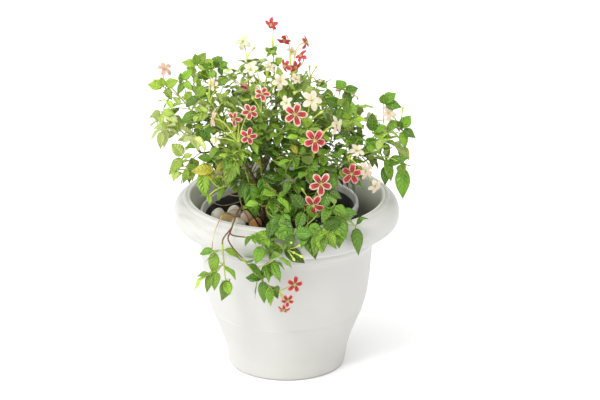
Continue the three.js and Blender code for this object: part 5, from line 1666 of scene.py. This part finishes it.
# Thin twigs fill the shoots out, each with a few pairs of smaller leaves, wherever there is room. They grow
# by turns from the green axis, from the woody branch under it and from the limb.
for seed, (name, shoot) in enumerate(SHOOTS.items(), 1):
    hangs = name.startswith(HANGING)
    carriers = [shoot_curve(shoot), shoot_curve(shoot), branch_curve(shoot), limb_curve(LIMBS[shoot.on])]
    for number in range(shoot.fill):
        kind = number % 4
        carrier = carriers[kind]
        share = (number + 0.5) / shoot.fill
        place = mix(0.0, 0.92, share) if kind < 2 else mix(0.45, 0.95, draw(seed, number, 71))
        start = carrier(place)
        along = heading_of(carrier, place)
        level = side_of(along, seed, 0.3)
        owner = name + str(number)
        reach = shoot.leaf * mix(1.7, 0.9, share) * mix(0.7, 1.15, draw(seed, number, 72))
        for attempt in range(FILL_TRIES):
            turn = GOLDEN_ANGLE * (seed + number) + RETRY_ANGLE * attempt
            out = turned_about(level, along, turn)
            if hangs:
                out = (out + Vector((0, -0.9, 0))).normalized()
            end = start + out * reach * 0.85 + along * reach * 0.4
            end.z += reach * mix(0.0, 0.3, draw(seed, number, 73))
            arriving = (out + 0.25 * UP * (draw(seed, number, 74) - 0.6)).normalized()
            twig = curve_between(start, (out + along).normalized(), end, arriving)
            line = places_along(twig, 10)[4:]
            has_room = is_in_bounds(line, hangs) and room.is_free(line, FILL_TWIG_CLEARANCE, owner)
            if has_room and not hides_a_bloom(line, 0):
                break
            reach *= 0.94
        else:
            continue
        size = shoot.leaf * mix(*FILL_SIZES, draw(seed, number, 75))
        grown = grown_on(twig, owner, size, 3 if reach > 24 else 2, 40 + 3 * number, seed, hangs)
        if grown:
            add_twig(name, twig, owner, grown, shoot.youth - (0.2 if kind > 1 else 0))
for name, shape in shoot_shapes.items():
    piece = shape.piece("shoot_" + name, leaf_finish, axis_finish)
    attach(piece, "root")
    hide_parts("leafy_shoot_" + name)


# Dry tendrils: thin straw-coloured ends of last year's shoots, which lie in loops on the soil and pebbles,
# and hang from the stems that they grew on.
TENDRILS = [
    [
        (-33, -16, 266), (-63, -12, 245), (-84, -8, 246), (-100, -6, 241), (-99, -12, 235), (-84, -14, 231),
        (-60, -12, 237),
    ],
    [(-66, -30, 262), (-60, -38, 240), (-52, -44, 226), (-50, -38, 214), (-48, -40, 206)],
    [
        (-76, -30, 224), (-82, -66, 240), (-87, -102, 247), (-95, -130, 236), (-98, -140, 218),
        (-94, -152, 205),
    ],
    [(-50, -14, 206), (-56, -20, 222), (-72, -22, 228), (-80, -30, 222), (-74, -36, 208)],
    [(4, -22, 240), (0, -30, 250), (8, -40, 244), (2, -46, 222), (6, -40, 206)],
]
TENDRIL_RADIUS = 0.75
TENDRIL_STEPS = 10  # from each point to the next
TENDRIL_SIDES = 7
TENDRIL_STRAW = (0.6, 0.5, 0.2, 1)
TENDRIL_BROWN = (0.32, 0.18, 0.08, 1)

straw, tree, shader = new_material("dry_tendril", Roughness=0.75, Specular_IOR_Level=0.25)
near = add(tree, "ShaderNodeGroup", {"Scale": 90, "Finer": 8}, node_tree=mottle)
brown_share = banded(tree, near.outputs["Patches"], 0.42, 0.66)
tree.links.new(blended(tree, brown_share, TENDRIL_STRAW, TENDRIL_BROWN), shader.inputs["Base Color"])
roughened(tree, shader, near.outputs["Grain"], 0.5, 0.0004)

tendril_shape = Shape()
for number, knots in enumerate(TENDRILS):
    line = through(knots, TENDRIL_STEPS)

    def tendril_at(share):
        step = min(len(line) - 2, int(share * (len(line) - 1)))
        return line[step].lerp(line[step + 1], share * (len(line) - 1) - step)

    radius = knotted(TENDRIL_RADIUS, 0.6 * TENDRIL_RADIUS, number + 80, 7, 0.25)
    points, faces, shares = tube(tendril_at, len(line) - 1, TENDRIL_SIDES, radius)
    tendril_shape.add(points, faces)
tendrils = tendril_shape.piece("dry_tendrils", straw)
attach(tendrils, "root")
